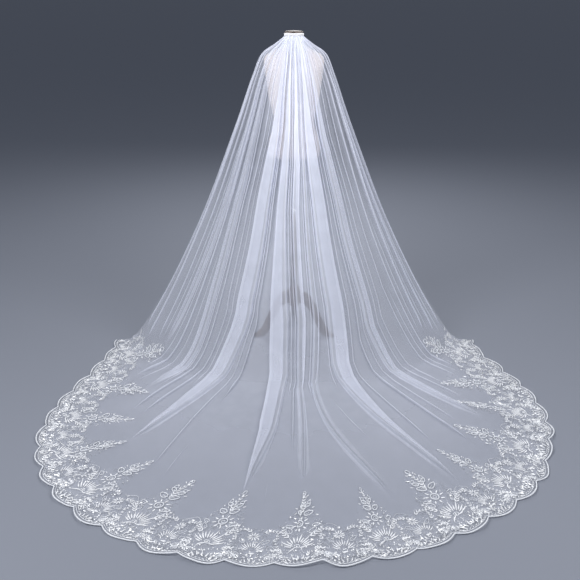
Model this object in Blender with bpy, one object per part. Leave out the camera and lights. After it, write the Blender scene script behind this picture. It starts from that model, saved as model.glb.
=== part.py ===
"""A cathedral-length tulle bridal veil, gathered on a comb behind the neck of a headless dress form.

Metres, +Z up.  The stand's pole is on the axis x = y = 0 while the pieces are made, with the
veil's train running towards -Y and its open front towards +Y.  The last step moves every piece
so that the middle of the whole plan is on the origin and the floor is z = 0.

The veil hangs on "levels" at the form and then runs along the floor to its hem.  A place on it
has two co-ordinates: side runs from -1 at the left selvedge to 1 at the right one, and level
counts the rows of FALL_LEVELS, then the four quarters of the train.
"""
from collections import namedtuple
from math import cos, pi, radians, sin, tau

import bmesh
import bpy
import numpy as np
from mathutils import Matrix, Vector

# ---------------------------------------------------------------- general sizes
SEAT_GAP = 0.0003            # between a piece and what carries it
TULLE_WALL = 0.0012
LACE_WALL = 0.0012
FLOOR_LIFT = 0.0002          # under the lace edge and its cord, past the edge of the tulle

# ---------------------------------------------------------------- the veil's form
# Sections of the hanging cloth: half ellipses round the pole, open at the front.
Level = namedtuple("Level", "height half_width back_depth spread_deg")
FALL_LEVELS = (
    Level(1.696, 0.062, 0.062, 50.0),
    Level(1.655, 0.110, 0.080, 70.0),
    Level(1.600, 0.176, 0.112, 82.0),
    Level(1.480, 0.222, 0.160, 84.0),
    Level(1.300, 0.285, 0.212, 83.5),
    Level(1.100, 0.362, 0.270, 83.0),
    Level(0.850, 0.468, 0.350, 82.0),
    Level(0.600, 0.590, 0.440, 81.5),
    Level(0.380, 0.710, 0.530, 81.0),
    Level(0.200, 0.822, 0.615, 80.5),
    Level(0.080, 0.900, 0.700, 80.0),
    Level(0.015, 0.938, 0.790, 80.0),
)
# Plan of the train by angle from the centre line: where the cloth meets the floor, and its hem.
Plan = namedtuple("Plan", "angle_deg contact_radius left_hem right_hem")
TRAIN_PLAN = (
    Plan(0.0, 0.900, 2.150, 2.150),
    Plan(10.0, 0.900, 2.145, 2.130),
    Plan(20.0, 0.903, 2.080, 2.050),
    Plan(30.0, 0.910, 1.965, 1.955),
    Plan(40.0, 0.920, 1.790, 1.790),
    Plan(50.0, 0.930, 1.530, 1.590),
    Plan(60.0, 0.940, 1.260, 1.330),
    Plan(70.0, 0.950, 1.110, 1.125),
    Plan(80.0, 0.955, 1.040, 1.045),
)
HEM_SPREAD = radians(80.0)
TRAIN_QUARTERS = 4
CONTACT_LEVEL = len(FALL_LEVELS)
HEM_LEVEL = CONTACT_LEVEL + TRAIN_QUARTERS
HEM_INSET = 0.030            # the tulle stops this far inside the scalloped line
NORMAL_STEP = 1e-3           # side and level steps that normals are worked out from
HEM_SAMPLES = 1200           # steps along the hem when its length is measured
LEVEL_SAMPLES = 300          # and up the cloth from the hem

# Flat pleats: three layers over a band.  Sides are given at the waist and on the floor, widths
# of the band at the waist, knee and floor, reach is the part of the train where it has died out.
Pleat = namedtuple("Pleat", "waist_side floor_side waist_band knee_band floor_band reach rise")
PLEATS = (
    Pleat(-0.735, -0.745, 0.016, 0.022, 0.012, 0.20, 0.012),
    Pleat(-0.587, -0.575, 0.020, 0.026, 0.030, 0.40, 0.014),
    Pleat(-0.275, -0.370, 0.050, 0.092, 0.070, 0.80, 0.018),
    Pleat(-0.108, -0.088, 0.038, 0.092, 0.070, 0.74, 0.018),
    Pleat(0.055, 0.036, 0.026, 0.032, 0.022, 0.62, 0.012),
    Pleat(0.228, 0.280, 0.055, 0.089, 0.075, 0.84, 0.018),
    Pleat(0.438, 0.500, 0.030, 0.036, 0.038, 0.60, 0.014),
)
# Narrow ridges: one soft fold of the tulle standing proud.
Ridge = namedtuple("Ridge", "waist_side floor_side reach rise")
RIDGES = (
    Ridge(-0.955, -0.940, 0.10, 0.014),
    Ridge(-0.900, -0.880, 0.10, 0.018),
    Ridge(-0.835, -0.815, 0.15, 0.014),
    Ridge(-0.660, -0.655, 0.30, 0.020),
    Ridge(-0.510, -0.500, 0.30, 0.016),
    Ridge(-0.420, -0.462, 0.55, 0.016),
    Ridge(-0.180, -0.265, 0.35, 0.020),
    Ridge(-0.021, -0.003, 0.45, 0.012),
    Ridge(0.119, 0.112, 0.85, 0.016),
    Ridge(0.345, 0.385, 0.50, 0.018),
    Ridge(0.530, 0.595, 0.35, 0.016),
    Ridge(0.610, 0.660, 0.40, 0.022),
    Ridge(0.700, 0.725, 0.25, 0.014),
    Ridge(0.780, 0.790, 0.15, 0.020),
    Ridge(0.875, 0.870, 0.12, 0.020),
    Ridge(0.950, 0.940, 0.10, 0.014),
)
PLAIN_GAP = 0.070            # plain columns are about this far apart between folds
PLAIN_ROOM = 0.012           # and come only where this much room is left between them
CLEAR_OF_PLEAT = 0.072       # room kept on each side of the middle of a pleat
CLEAR_OF_RIDGE = 0.028
# Each fold is a run of columns: sideways steps, swing with half the band, share of its rise.
Turn = namedtuple("Turn", "step swing share")
PLEAT_TURNS = (Turn(-2.5, -1, 0.0), Turn(-1.5, -1, 1.0), Turn(-0.5, 1, 1.0),
               Turn(0.5, 1, 0.55), Turn(1.5, -1, 0.45), Turn(2.5, -1, 0.0))
RIDGE_TURNS = (Turn(-2.2, 0, 0.0), Turn(0.0, 0, 1.0), Turn(2.2, 0, 0.0))
PLAIN_TURNS = (Turn(0.0, 0, 0.0),)
FOLD_STEP = 0.0040           # one sideways step at full width
STEP_SHARE = 0.010           # and at most this share of a section's half length
FADE_LEVELS = 0.8            # a fold's rise dies out over this many levels, at a row above the lace
BAND_CLOSING = np.array((0.0, 1.0, 2.6, 7.0))  # its band in sideways steps, in the last rows
WAIST_LEVEL = 6.0
KNEE_LEVEL = 9.0
DRIFT_LEVELS = 4.0           # below the waist, folds drift from their waist to their floor side
RISE_FROM_LEVEL = 2.0        # folds grow to their full rise from here to the waist
GATHERED_BAND = 0.1          # share of a pleat's waist band that is left above the gathering
GATHER_LEVELS = (0.0, 1.0, 2.0, 3.0, 4.5, 6.5)
GATHER_DEPTHS = (0.0018, 0.0045, 0.0080, 0.0100, 0.0070, 0.0)
EVEN_LEVEL = 2.6             # above this the columns close up evenly into the gathering
VEIL_ROWS = (0, 1, 1.6, 2.2, 3, 4, 5, 6, 7, 8, 9, 10, 11, 11.5, 12, 12.6, 13.2, 13.8, 14.4, 15.2, 16)

# ---------------------------------------------------------------- lace edge
LACE_REPEATS = 15
SCALLOPS = 2 * LACE_REPEATS
SCALLOP_STEPS = 5
SCALLOP_DEPTH = 0.030
SCALLOP_PHASE = 0.6          # place of the first joint between scallops, counted in scallops
SCALLOP_POWER = 0.75         # under 1 it is rounder than a half wave
SCALLOP_MEAN = 0.55          # share of its depth that lies inside the mean hem
LACE_BAND = 0.215            # width between the peaks
LACE_PEAK = 0.460            # usual width at a peak
PEAK_SPAN = 0.30             # half width of a peak, in repeats
PEAK_PHASE = 0.05            # puts the peaks over the middles of scallops
PEAK_POWER = 0.95            # under 1 its sides bulge
LEAN_FOOT = 0.120            # the lace leans from this distance up from the hem
# How wide the lace is at each peak, and how far its tip leans towards the right selvedge.
Peak = namedtuple("Peak", "width lean")
PEAKS = (
    Peak(0.365, 0.000), Peak(0.400, 0.000), Peak(0.420, 0.000), Peak(0.400, 0.010),
    Peak(0.450, 0.000), Peak(0.460, 0.020), Peak(0.460, 0.070), Peak(0.460, 0.060),
    Peak(0.455, 0.018), Peak(0.460, 0.045), Peak(0.480, 0.030), Peak(0.460, 0.090),
    Peak(0.440, 0.110), Peak(0.410, 0.065), Peak(0.390, 0.020),
)
PEAK_PLACES = np.arange(LACE_REPEATS) + PEAK_PHASE + 0.5
PLACE_SAMPLES = 40           # places read in each repeat
LACE_ROWS = (0.0, 0.5, 1.0)
FLOWER_RISE = 0.0022
FLOWER_POWER = 3             # the flowers rise only in the middle of each scallop
LACE_PANEL_SIDE = 0.66       # past this side the lace also climbs the hanging cloth
FOLD_SIDE = 0.012            # side value that a dying fold still covers on each side
LACE_STAND_OFF = 0.0006      # more room under the lace where it climbs the hanging cloth
CLIMB_HEIGHT = 0.030         # which it has in full at this height
COLUMN_GAP = 0.004           # side value that keeps the lace's columns apart
CORD_RADIUS = 0.0019
CORD_SIDES = 4

# ---------------------------------------------------------------- comb and heading
HEADING_RADII = (0.0552, 0.0668)
HEADING_HEIGHTS = (1.6963, 1.7120)
HEADING_HALF_ANGLE = radians(53.0)
HEADING_STEPS = 16
HEADING_CORNER = 0.0022
COMB_SPINE_RADII = (0.0511, 0.0549)
COMB_SPINE_HEIGHTS = (1.6960, 1.7010)
COMB_HALF_ANGLE = radians(48.0)
COMB_STEPS = 12
COMB_CORNER = 0.0008
COMB_TEETH = 15
TEETH_SPREAD = 0.96          # share of the spine's angle that the teeth take
TOOTH_LENGTH = 0.032
TOOTH_WIDTH = 0.0018
TOOTH_TAPER = 0.4            # width at its tip as a share of that at its root
TOOTH_RADII = (0.0514, 0.0532)

# ---------------------------------------------------------------- dress form and stand
Ring = namedtuple("Ring", "height half_width front back squareness")
FORM_RINGS = (
    Ring(1.0500, 0.1300, 0.088, 0.092, 2.3),
    Ring(1.0530, 0.1400, 0.096, 0.100, 2.3),
    Ring(1.0800, 0.1450, 0.101, 0.107, 2.3),
    Ring(1.1400, 0.1390, 0.100, 0.103, 2.3),
    Ring(1.2000, 0.1190, 0.092, 0.088, 2.3),
    Ring(1.2500, 0.1100, 0.088, 0.079, 2.3),
    Ring(1.3100, 0.1220, 0.102, 0.084, 2.3),
    Ring(1.3700, 0.1380, 0.126, 0.093, 2.3),
    Ring(1.4300, 0.1460, 0.128, 0.099, 2.3),
    Ring(1.5000, 0.1560, 0.106, 0.101, 2.3),
    Ring(1.5500, 0.1630, 0.088, 0.095, 2.2),
    Ring(1.5800, 0.1610, 0.078, 0.086, 2.1),
    Ring(1.5980, 0.1480, 0.070, 0.077, 2.0),
    Ring(1.6150, 0.1180, 0.063, 0.068, 2.0),
    Ring(1.6320, 0.0830, 0.056, 0.059, 2.0),
    Ring(1.6480, 0.0590, 0.051, 0.0525, 2.0),
    Ring(1.6620, 0.0505, 0.050, 0.0502, 2.0),
    Ring(1.7050, 0.0500, 0.050, 0.0500, 2.0),
)
FORM_SIDES = 24
CAP_PROFILE = ((0.0, 1.7053), (0.0490, 1.7053), (0.0510, 1.7075), (0.0510, 1.7150),
               (0.0470, 1.7195), (0.0300, 1.7225), (0.0, 1.7235))
ROD_RADIUS = 0.0110
ROD_HEIGHTS = (0.7203, 1.0497)
POLE_PROFILE = ((0.0, 0.1500), (0.0240, 0.1500), (0.0290, 0.1560), (0.0300, 0.1640),
                (0.0300, 0.2620), (0.0275, 0.2700), (0.0215, 0.2760), (0.0190, 0.2900),
                (0.0180, 0.6700), (0.0200, 0.6760), (0.0210, 0.6840), (0.0200, 0.6920),
                (0.0185, 0.6980), (0.0185, 0.7200), (0.0, 0.7200))
FERRULE_PROFILE = ((0.0113, 0.7203), (0.0195, 0.7203), (0.0195, 0.7380), (0.0170, 0.7410),
                   (0.0113, 0.7410))
SCREW_HEIGHT = 0.3350
SCREW_PROFILE = ((0.0, 0.0193), (0.0040, 0.0193), (0.0040, 0.0290), (0.0095, 0.0310),
                 (0.0110, 0.0350), (0.0095, 0.0395), (0.0, 0.0405))
ROUND_SIDES = 20
CAP_SIDES = 24
SCREW_SIDES = 12
LEG_ANGLES = (90.0, 210.0, 330.0)
LEG_THICKNESS = 0.0240
LEG_ROOT = 0.0303
LEG_OUTLINE = ((LEG_ROOT, 0.2540), (0.0600, 0.2500), (0.1000, 0.2280), (0.1400, 0.1800),
               (0.1750, 0.1180), (0.2050, 0.0640), (0.2350, 0.0330), (0.2600, 0.0180),
               (0.2680, 0.0080), (0.2660, 0.0), (0.2180, 0.0), (0.1850, 0.0180),
               (0.1560, 0.0640), (0.1260, 0.1180), (0.0960, 0.1560), (0.0640, 0.1760),
               (LEG_ROOT, 0.1780))


# ---------------------------------------------------------------- small tools
def material(name, color, roughness, metallic=0.0, alpha=1.0):
    """A Principled material in one plain colour."""
    made = bpy.data.materials.new(name)
    made.use_nodes = True
    shader = made.node_tree.nodes["Principled BSDF"]
    shader.inputs["Base Color"].default_value = (*color, 1.0)
    shader.inputs["Roughness"].default_value = roughness
    shader.inputs["Metallic"].default_value = metallic
    shader.inputs["Alpha"].default_value = alpha
    return made


def mesh_object(name, verts, faces, finish, smooth_angle=None):
    """One named object from vertices and faces, with its material."""
    mesh = bpy.data.meshes.new(name)
    mesh.from_pydata([tuple(map(float, v)) for v in verts], [], faces)
    mesh.validate()
    if smooth_angle is not None:
        mesh.shade_smooth()
        mesh.set_sharp_from_angle(angle=smooth_angle)
    mesh.materials.append(finish)
    made = bpy.data.objects.new(name, mesh)
    bpy.context.collection.objects.link(made)
    return made


def glide(knots, values, x):
    """A smooth curve through values (last axis) at the knots, which never overshoots them."""
    knots = np.asarray(knots, float)
    values = np.asarray(values, float)
    x = np.asarray(x, float)
    gap = np.diff(knots)
    slope = np.diff(values, axis=-1) / gap
    before, after = slope[..., :-1], slope[..., 1:]
    same_way = before * after > 0.0
    total = np.where(same_way, before + after, 1.0)
    inner = np.where(same_way, 2.0 * before * after / total, 0.0)
    tangent = np.concatenate([slope[..., :1], inner, slope[..., -1:]], axis=-1)
    cell = np.clip(np.searchsorted(knots, x, side="right") - 1, 0, len(gap) - 1)
    share = np.clip((x - knots[cell]) / gap[cell], 0.0, 1.0)
    shape = x.shape + knots.shape
    values = np.broadcast_to(values, shape)
    tangent = np.broadcast_to(tangent, shape)

    def at(table, index):
        return np.take_along_axis(table, index[..., None], axis=-1)[..., 0]

    square, cube = share ** 2, share ** 3
    return ((2 * cube - 3 * square + 1) * at(values, cell)
            + (cube - 2 * square + share) * gap[cell] * at(tangent, cell)
            + (3 * square - 2 * cube) * at(values, cell + 1)
            + (cube - square) * gap[cell] * at(tangent, cell + 1))


def ease(x):
    """0 below 0, 1 above 1, and smooth between."""
    x = np.clip(x, 0.0, 1.0)
    return x * x * (3.0 - 2.0 * x)


def unit(vectors):
    """Vectors (last axis) at length 1."""
    length = np.linalg.norm(vectors, axis=-1, keepdims=True)
    return vectors / np.maximum(length, 1e-12)


# ---------------------------------------------------------------- the veil's smooth form
def plan_radii(side):
    """Radius of the floor contact and of the hem at each side value."""
    angles = [row.angle_deg for row in TRAIN_PLAN]
    angle = np.abs(side) * np.degrees(HEM_SPREAD)
    contact = glide(angles, [row.contact_radius for row in TRAIN_PLAN], angle)
    left = glide(angles, [row.left_hem for row in TRAIN_PLAN], angle)
    right = glide(angles, [row.right_hem for row in TRAIN_PLAN], angle)
    return contact, np.where(np.asarray(side) < 0.0, left, right)


def veil_point(side, level):
    """Points of the smooth form, without its folds."""
    side = np.asarray(side, float)
    level = np.asarray(level, float)
    spreads = np.radians([row.spread_deg for row in FALL_LEVELS])
    angles = np.abs(side)[..., None] * spreads
    widths = np.array([row.half_width for row in FALL_LEVELS])
    depths = np.array([row.back_depth for row in FALL_LEVELS])
    radii = 1.0 / np.hypot(np.sin(angles) / widths, np.cos(angles) / depths)
    contact, hem = plan_radii(side)
    quarters = np.arange(TRAIN_QUARTERS + 1) / TRAIN_QUARTERS
    run = contact[..., None] + (hem - HEM_INSET - contact)[..., None] * quarters
    floor_angles = np.broadcast_to((np.abs(side) * HEM_SPREAD)[..., None], run.shape)
    knots = np.arange(HEM_LEVEL + 1)
    heights = [row.height for row in FALL_LEVELS] + [0.0] * (TRAIN_QUARTERS + 1)
    radius = glide(knots, np.concatenate([radii, run], axis=-1), level)
    angle = glide(knots, np.concatenate([angles, floor_angles], axis=-1), level)
    height = glide(knots, heights, level)
    return np.stack([np.sign(side) * radius * np.sin(angle), -radius * np.cos(angle), height], -1)


def veil_frame(side, level):
    """Outward normals of the smooth form, and its width for a whole unit of side."""
    low = np.clip(side - NORMAL_STEP, -1.0, 1.0)
    high = np.clip(side + NORMAL_STEP, -1.0, 1.0)
    across = veil_point(high, level) - veil_point(low, level)
    up = np.clip(level - NORMAL_STEP, 0.0, HEM_LEVEL)
    down = np.clip(level + NORMAL_STEP, 0.0, HEM_LEVEL)
    along = veil_point(side, down) - veil_point(side, up)
    normal = unit(np.cross(along, across))
    return normal, np.linalg.norm(across, axis=-1) / (high - low)


def hem_spacing(count):
    """Side values that part the hem into equal lengths."""
    side = np.linspace(-1.0, 1.0, HEM_SAMPLES + 1)
    hem = veil_point(side, np.full(side.shape, float(HEM_LEVEL)))
    run = np.concatenate([[0.0], np.cumsum(np.linalg.norm(np.diff(hem, axis=0), axis=1))])
    return np.interp(np.linspace(0.0, run[-1], count + 1), run, side)


def level_from_hem(side, distance):
    """Level of the place that lies a distance up the cloth from the hem at each side value."""
    levels = np.linspace(HEM_LEVEL, WAIST_LEVEL, LEVEL_SAMPLES)
    side = np.asarray(side, float)
    grid_side = np.broadcast_to(side[:, None], (len(side), len(levels)))
    grid_level = np.broadcast_to(levels, grid_side.shape)
    points = veil_point(grid_side, grid_level)
    steps = np.linalg.norm(np.diff(points, axis=1), axis=2)
    run = np.concatenate([np.zeros((len(side), 1)), np.cumsum(steps, axis=1)], axis=1)
    return np.array([np.interp(d, row, levels) for d, row in zip(distance, run)])


# ---------------------------------------------------------------- folds
def lace_width(place):
    """Width of the lace at a place along the hem, counted in repeats."""
    off_peak = np.abs((place - PEAK_PHASE) % 1.0 - 0.5) / PEAK_SPAN
    peak = np.clip(1.0 - off_peak, 0.0, 1.0) ** PEAK_POWER
    top = np.interp(place, PEAK_PLACES, [peak.width for peak in PEAKS])
    return LACE_BAND + (top - LACE_BAND) * peak


def lace_lean(place, up):
    """Distance that the lace leans towards the right selvedge, this far up from its hem."""
    tip_lean = np.interp(place, PEAK_PLACES, [peak.lean for peak in PEAKS])
    return tip_lean * np.clip((up - LEAN_FOOT) / (LACE_PEAK - LEAN_FOOT), 0.0, 1.0)


def lace_outline():
    """Places along the hem, with the side value and the depth of the lace's inner outline there.

    The lace stands square to the hem but for its lean, so most peaks point to the centre line.
    Depth is the distance up the cloth from the hem at that side value.
    """
    count = PLACE_SAMPLES * LACE_REPEATS
    places = np.linspace(0.0, LACE_REPEATS, count + 1)
    hem_side = hem_spacing(count)
    hem = veil_point(hem_side, np.full(hem_side.shape, float(HEM_LEVEL)))
    along = unit(np.gradient(hem, axis=0))
    inward = np.stack([-along[:, 1], along[:, 0], along[:, 2]], -1)
    width = lace_width(places)
    top = hem + inward * (width - HEM_INSET)[:, None] + along * lace_lean(places, width)[:, None]
    top_side = np.arctan2(top[:, 0], -top[:, 1]) / HEM_SPREAD
    hem_radius = np.interp(top_side, hem_side, np.hypot(hem[:, 0], hem[:, 1]))
    depth = hem_radius - np.hypot(top[:, 0], top[:, 1])
    return places, np.maximum.accumulate(top_side), depth


def lace_depth(side):
    """Distance up the cloth from the hem to the lace's inner outline at each side value."""
    _, top_side, depth = lace_outline()
    return np.interp(side, top_side, depth)


def peak_sides():
    """Side values at the tips of the peaks."""
    places, top_side, _ = lace_outline()
    return np.interp(PEAK_PLACES, places, top_side)


def lace_top_level(side):
    """Level of the lace's inner outline at each side value."""
    return level_from_hem(side, lace_depth(side))


def mirrored(turns):
    """The same turns leaning the other way."""
    return [Turn(-turn.step, -turn.swing, turn.share) for turn in reversed(turns)]


def plain_columns(fold, after):
    """Columns of flat cloth between two folds, where there is room for them."""
    margins = [CLEAR_OF_PLEAT if f.knee_band > 0.0 else CLEAR_OF_RIDGE for f in (fold, after)]
    waist = (fold.waist_side + margins[0], after.waist_side - margins[1])
    floor = (fold.floor_side + margins[0], after.floor_side - margins[1])
    if min(waist[1] - waist[0], floor[1] - floor[0]) < PLAIN_ROOM:
        return []
    count = 1 + int((floor[1] - floor[0]) / PLAIN_GAP)
    columns = []
    for k in range(count):
        share = (k + 0.5) / count
        sides = [ends[0] + (ends[1] - ends[0]) * share for ends in (waist, floor)]
        columns.append((*sides, 0.0, 0.0, 0.0, 1.0, 0.0, *PLAIN_TURNS[0]))
    return columns


def fold_columns():
    """Named arrays with one entry for each column, from the left selvedge to the right one."""
    no_band = (0.0, 0.0, 0.0)
    runs = [(p, PLEAT_TURNS if p.waist_side > 0.0 else mirrored(PLEAT_TURNS)) for p in PLEATS]
    for ridge in RIDGES:
        bandless = Pleat(ridge.waist_side, ridge.floor_side, *no_band, ridge.reach, ridge.rise)
        runs.append((bandless, RIDGE_TURNS))
    for selvedge in (-1.0, 1.0):
        runs.append((Pleat(selvedge, selvedge, *no_band, 1.0, 0.0), PLAIN_TURNS))
    runs.sort(key=lambda run: run[0].floor_side)
    columns = []
    for (fold, turns), after in zip(runs, runs[1:] + [None]):
        columns += [(*fold, *turn) for turn in turns]
        if after is not None:
            columns += plain_columns(fold, after[0])
    names = Pleat._fields + Turn._fields
    return dict(zip(names, np.array(columns).T))


def fold_grid(rows):
    """Side, level and rise of every column (first axis) at every row (second axis)."""
    columns = {name: values[:, None] for name, values in fold_columns().items()}
    waist, floor = columns["waist_side"], columns["floor_side"]
    level = np.broadcast_to(np.asarray(rows, float), (len(waist), len(rows)))
    drift = ease((level - WAIST_LEVEL) / DRIFT_LEVELS)
    centre = waist + (floor - waist) * drift

    lace_tops = [lace_top_level(floor[:, 0] + beside) for beside in (-FOLD_SIDE, 0.0, FOLD_SIDE)]
    end = CONTACT_LEVEL + columns["reach"][:, 0] * TRAIN_QUARTERS
    end = np.minimum(end, np.min(lace_tops, axis=0))
    end_row = np.searchsorted(rows, end, side="right") - 1
    alive = ease((np.take(rows, end_row)[:, None] - level) / FADE_LEVELS)
    rows_left = np.maximum(end_row[:, None] - np.arange(len(rows)), 0)
    _, width = veil_frame(np.clip(centre, -0.999, 0.999), level)
    size = np.minimum(FOLD_STEP, STEP_SHARE * width)

    knots = (0.0, EVEN_LEVEL, WAIST_LEVEL, KNEE_LEVEL, CONTACT_LEVEL, HEM_LEVEL)
    at_waist, at_knee, at_floor = columns["waist_band"], columns["knee_band"], columns["floor_band"]
    gathered = GATHERED_BAND * at_waist
    bands = np.stack([0.0 * at_waist, gathered, at_waist, at_knee, at_floor, at_floor], -1)
    band = glide(knots, bands, level)
    last = len(BAND_CLOSING) - 1
    closing = BAND_CLOSING[np.minimum(rows_left, last)] * size
    closes = (rows_left <= last) & (band > closing)
    band = np.where(closes, closing, band)

    folded = centre + (columns["step"] * size + 0.5 * columns["swing"] * band) / width
    even = np.linspace(-1.0, 1.0, len(waist))[:, None]
    closed_up = 1.0 - ease(level / EVEN_LEVEL)
    side = np.clip(even * closed_up + folded * (1.0 - closed_up), -1.0, 1.0)

    gather = glide(GATHER_LEVELS, GATHER_DEPTHS, level)
    body = ease((level - RISE_FROM_LEVEL) / (WAIST_LEVEL - RISE_FROM_LEVEL))
    lift = columns["share"] * (gather + columns["rise"] * body) * alive
    return side, level, lift


def bisectors(points, axis):
    """Directions through each point of polylines, and how far a mitred corner reaches there."""
    parts = unit(np.diff(points, axis=axis))
    before = np.concatenate([np.take(parts, [0], axis=axis), parts], axis=axis)
    after = np.concatenate([parts, np.take(parts, [-1], axis=axis)], axis=axis)
    turn = before + after
    reach = 1.0 / np.clip(np.linalg.norm(turn, axis=-1, keepdims=True) / 2.0, 0.5, 1.0)
    return unit(turn), reach


def layer(middle, thickness):
    """Outer and inner points of a wall round the middle points of a folded sheet."""
    across, mitre = bisectors(middle, 0)
    down, _ = bisectors(middle, 1)
    normal = unit(np.cross(down, across))
    half = normal * mitre * thickness / 2.0
    return middle + half, middle - half


def wall_object(name, outer, inner, finish):
    """A closed wall from its outer and inner grids."""
    columns, rows = outer.shape[:2]
    verts = np.concatenate([outer.reshape(-1, 3), inner.reshape(-1, 3)])
    offset = columns * rows

    def front(i, j):
        return i * rows + j

    def back(i, j):
        return offset + i * rows + j

    end, foot = columns - 1, rows - 1
    faces = []
    for i in range(end):
        for j in range(foot):
            faces.append((front(i, j), front(i, j + 1), front(i + 1, j + 1), front(i + 1, j)))
            faces.append((back(i, j), back(i + 1, j), back(i + 1, j + 1), back(i, j + 1)))
        faces.append((front(i, 0), front(i + 1, 0), back(i + 1, 0), back(i, 0)))
        faces.append((front(i, foot), back(i, foot), back(i + 1, foot), front(i + 1, foot)))
    for j in range(foot):
        faces.append((front(0, j), back(0, j), back(0, j + 1), front(0, j + 1)))
        faces.append((front(end, j), front(end, j + 1), back(end, j + 1), back(end, j)))
    return mesh_object(name, verts, faces, finish, smooth_angle=radians(40.0))


def make_veil(finish):
    """The tulle: its hanging stretch and its train, parted where the cloth meets the floor."""
    side, level, lift = fold_grid(VEIL_ROWS)
    normal, _ = veil_frame(side, level)
    middle = veil_point(side, level) + normal * (lift + TULLE_WALL / 2.0)[..., None]
    outer, inner = layer(middle, TULLE_WALL)
    for skin in (outer, inner):
        skin[..., 2] = np.maximum(skin[..., 2], 0.0)
        skin[:, 0, 2] = HEADING_HEIGHTS[0] - SEAT_GAP
    seam = VEIL_ROWS.index(CONTACT_LEVEL)
    wall_object("veil_fall", outer[:, :seam + 1], inner[:, :seam + 1], finish)
    train_outer, train_inner = outer[:, seam:].copy(), inner[:, seam:].copy()
    away = unit(outer[:, seam] * (1.0, 1.0, 0.0)) * SEAT_GAP
    train_outer[:, 0] += away
    train_inner[:, 0] += away
    wall_object("veil_train", train_outer, train_inner, finish)
    return side, level, outer


# ---------------------------------------------------------------- lace edge and its cord
def on_panel(panel, side, level):
    """Points of the panel's outer faces, straight between its own columns and rows."""
    panel_side, panel_level, outer = panel
    rows = panel_level[0]
    points = []
    for s, p in zip(side, level):
        row = min(int(np.searchsorted(rows, p, side="right")) - 1, len(rows) - 2)
        share = (p - rows[row]) / (rows[row + 1] - rows[row])
        near = [np.interp(s, panel_side[:, row], outer[:, row, k]) for k in range(3)]
        far = [np.interp(s, panel_side[:, row + 1], outer[:, row + 1, k]) for k in range(3)]
        points.append(np.array(near) * (1.0 - share) + np.array(far) * share)
    return np.array(points)


def scallop(place):
    """Reach of the scalloped line past the mean hem at a place counted in scallops."""
    wave = np.abs(np.sin(pi * (place - SCALLOP_PHASE)))
    return SCALLOP_DEPTH * (wave ** SCALLOP_POWER - SCALLOP_MEAN)


def hem_line(side, place, extra):
    """Points on the floor plane along the scalloped line, moved out by extra."""
    _, hem = plan_radii(side)
    radius = hem + scallop(place) + extra
    angle = side * HEM_SPREAD
    return np.stack([radius * np.sin(angle), -radius * np.cos(angle), np.zeros_like(radius)], -1)


def lace_columns(panel):
    """Side values of the lace's columns, and their places counted in scallops."""
    even = hem_spacing(SCALLOPS * SCALLOP_STEPS)
    places = np.linspace(0.0, SCALLOPS, len(even))
    panel_side = panel[0][:, -1]
    climbing = panel_side[np.abs(panel_side) > LACE_PANEL_SIDE]
    side = even
    for extra in (*climbing, *peak_sides()):
        if np.min(np.abs(side - extra)) > COLUMN_GAP:
            side = np.sort(np.append(side, extra))
    return side, np.interp(side, even, places)


def make_lace(panel, finish):
    """The lace edge: peaks inside, scallops outside, lying on the tulle."""
    side, place = lace_columns(panel)
    width = lace_depth(side)
    flower = np.abs(np.sin(pi * (place - SCALLOP_PHASE))) ** FLOWER_POWER
    outer_rows, inner_rows = [], []
    for share in LACE_ROWS:
        level = np.minimum(level_from_hem(side, width * (1.0 - share)), HEM_LEVEL - 1e-6)
        normal, _ = veil_frame(side, level)
        on_face = on_panel(panel, side, level)
        stand_off = SEAT_GAP + LACE_STAND_OFF * ease(on_face[:, 2:] / CLIMB_HEIGHT)
        base = on_face + normal * stand_off
        rise = FLOWER_RISE * flower * (1.0 if share == LACE_ROWS[1] else 0.0)
        inner_rows.append(base)
        outer_rows.append(base + normal * (LACE_WALL + rise)[:, None])
    edge = hem_line(side, place, 0.0)
    drop = inner_rows[-1][:, 2:] * (0.0, 0.0, 1.0)
    inner_rows.append(edge + drop)
    outer_rows.append(edge + drop + (0.0, 0.0, LACE_WALL))
    wall_object("lace_border", np.stack(outer_rows, 1), np.stack(inner_rows, 1), finish)


def make_cord(panel, finish):
    """The corded edge that follows the scallops."""
    side, place = lace_columns(panel)
    line = hem_line(side, place, 0.0)
    along, mitre = bisectors(line, 0)
    outward = np.stack([along[:, 1], -along[:, 0], np.zeros(len(line))], -1)
    centre = line + outward * (SEAT_GAP + CORD_RADIUS) * mitre
    centre[:, 2] = FLOOR_LIFT + CORD_RADIUS
    rings = []
    for k in range(CORD_SIDES):
        turn = tau * (k + 0.5) / CORD_SIDES
        reach = CORD_RADIUS / cos(pi / CORD_SIDES)
        rings.append(centre + outward * mitre * reach * cos(turn) + (0.0, 0.0, reach * sin(turn)))
    tube_object("hem_cord", np.stack(rings, 1), finish)


def tube_object(name, rings, finish):
    """A solid tube from rings of points, with flat ends."""
    count, sides = rings.shape[:2]
    faces = []
    for i in range(count - 1):
        for k in range(sides):
            m = (k + 1) % sides
            faces.append((i * sides + k, (i + 1) * sides + k, (i + 1) * sides + m, i * sides + m))
    faces.append(tuple(range(sides)))
    faces.append(tuple(reversed(range((count - 1) * sides, count * sides))))
    made = mesh_object(name, rings.reshape(-1, 3), faces, finish, smooth_angle=radians(50.0))
    turn_outward(made)
    return made


def turn_outward(made):
    """Makes the faces of a closed mesh point out."""
    shape = bmesh.new()
    shape.from_mesh(made.data)
    bmesh.ops.recalc_face_normals(shape, faces=shape.faces)
    shape.to_mesh(made.data)
    shape.free()


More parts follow.
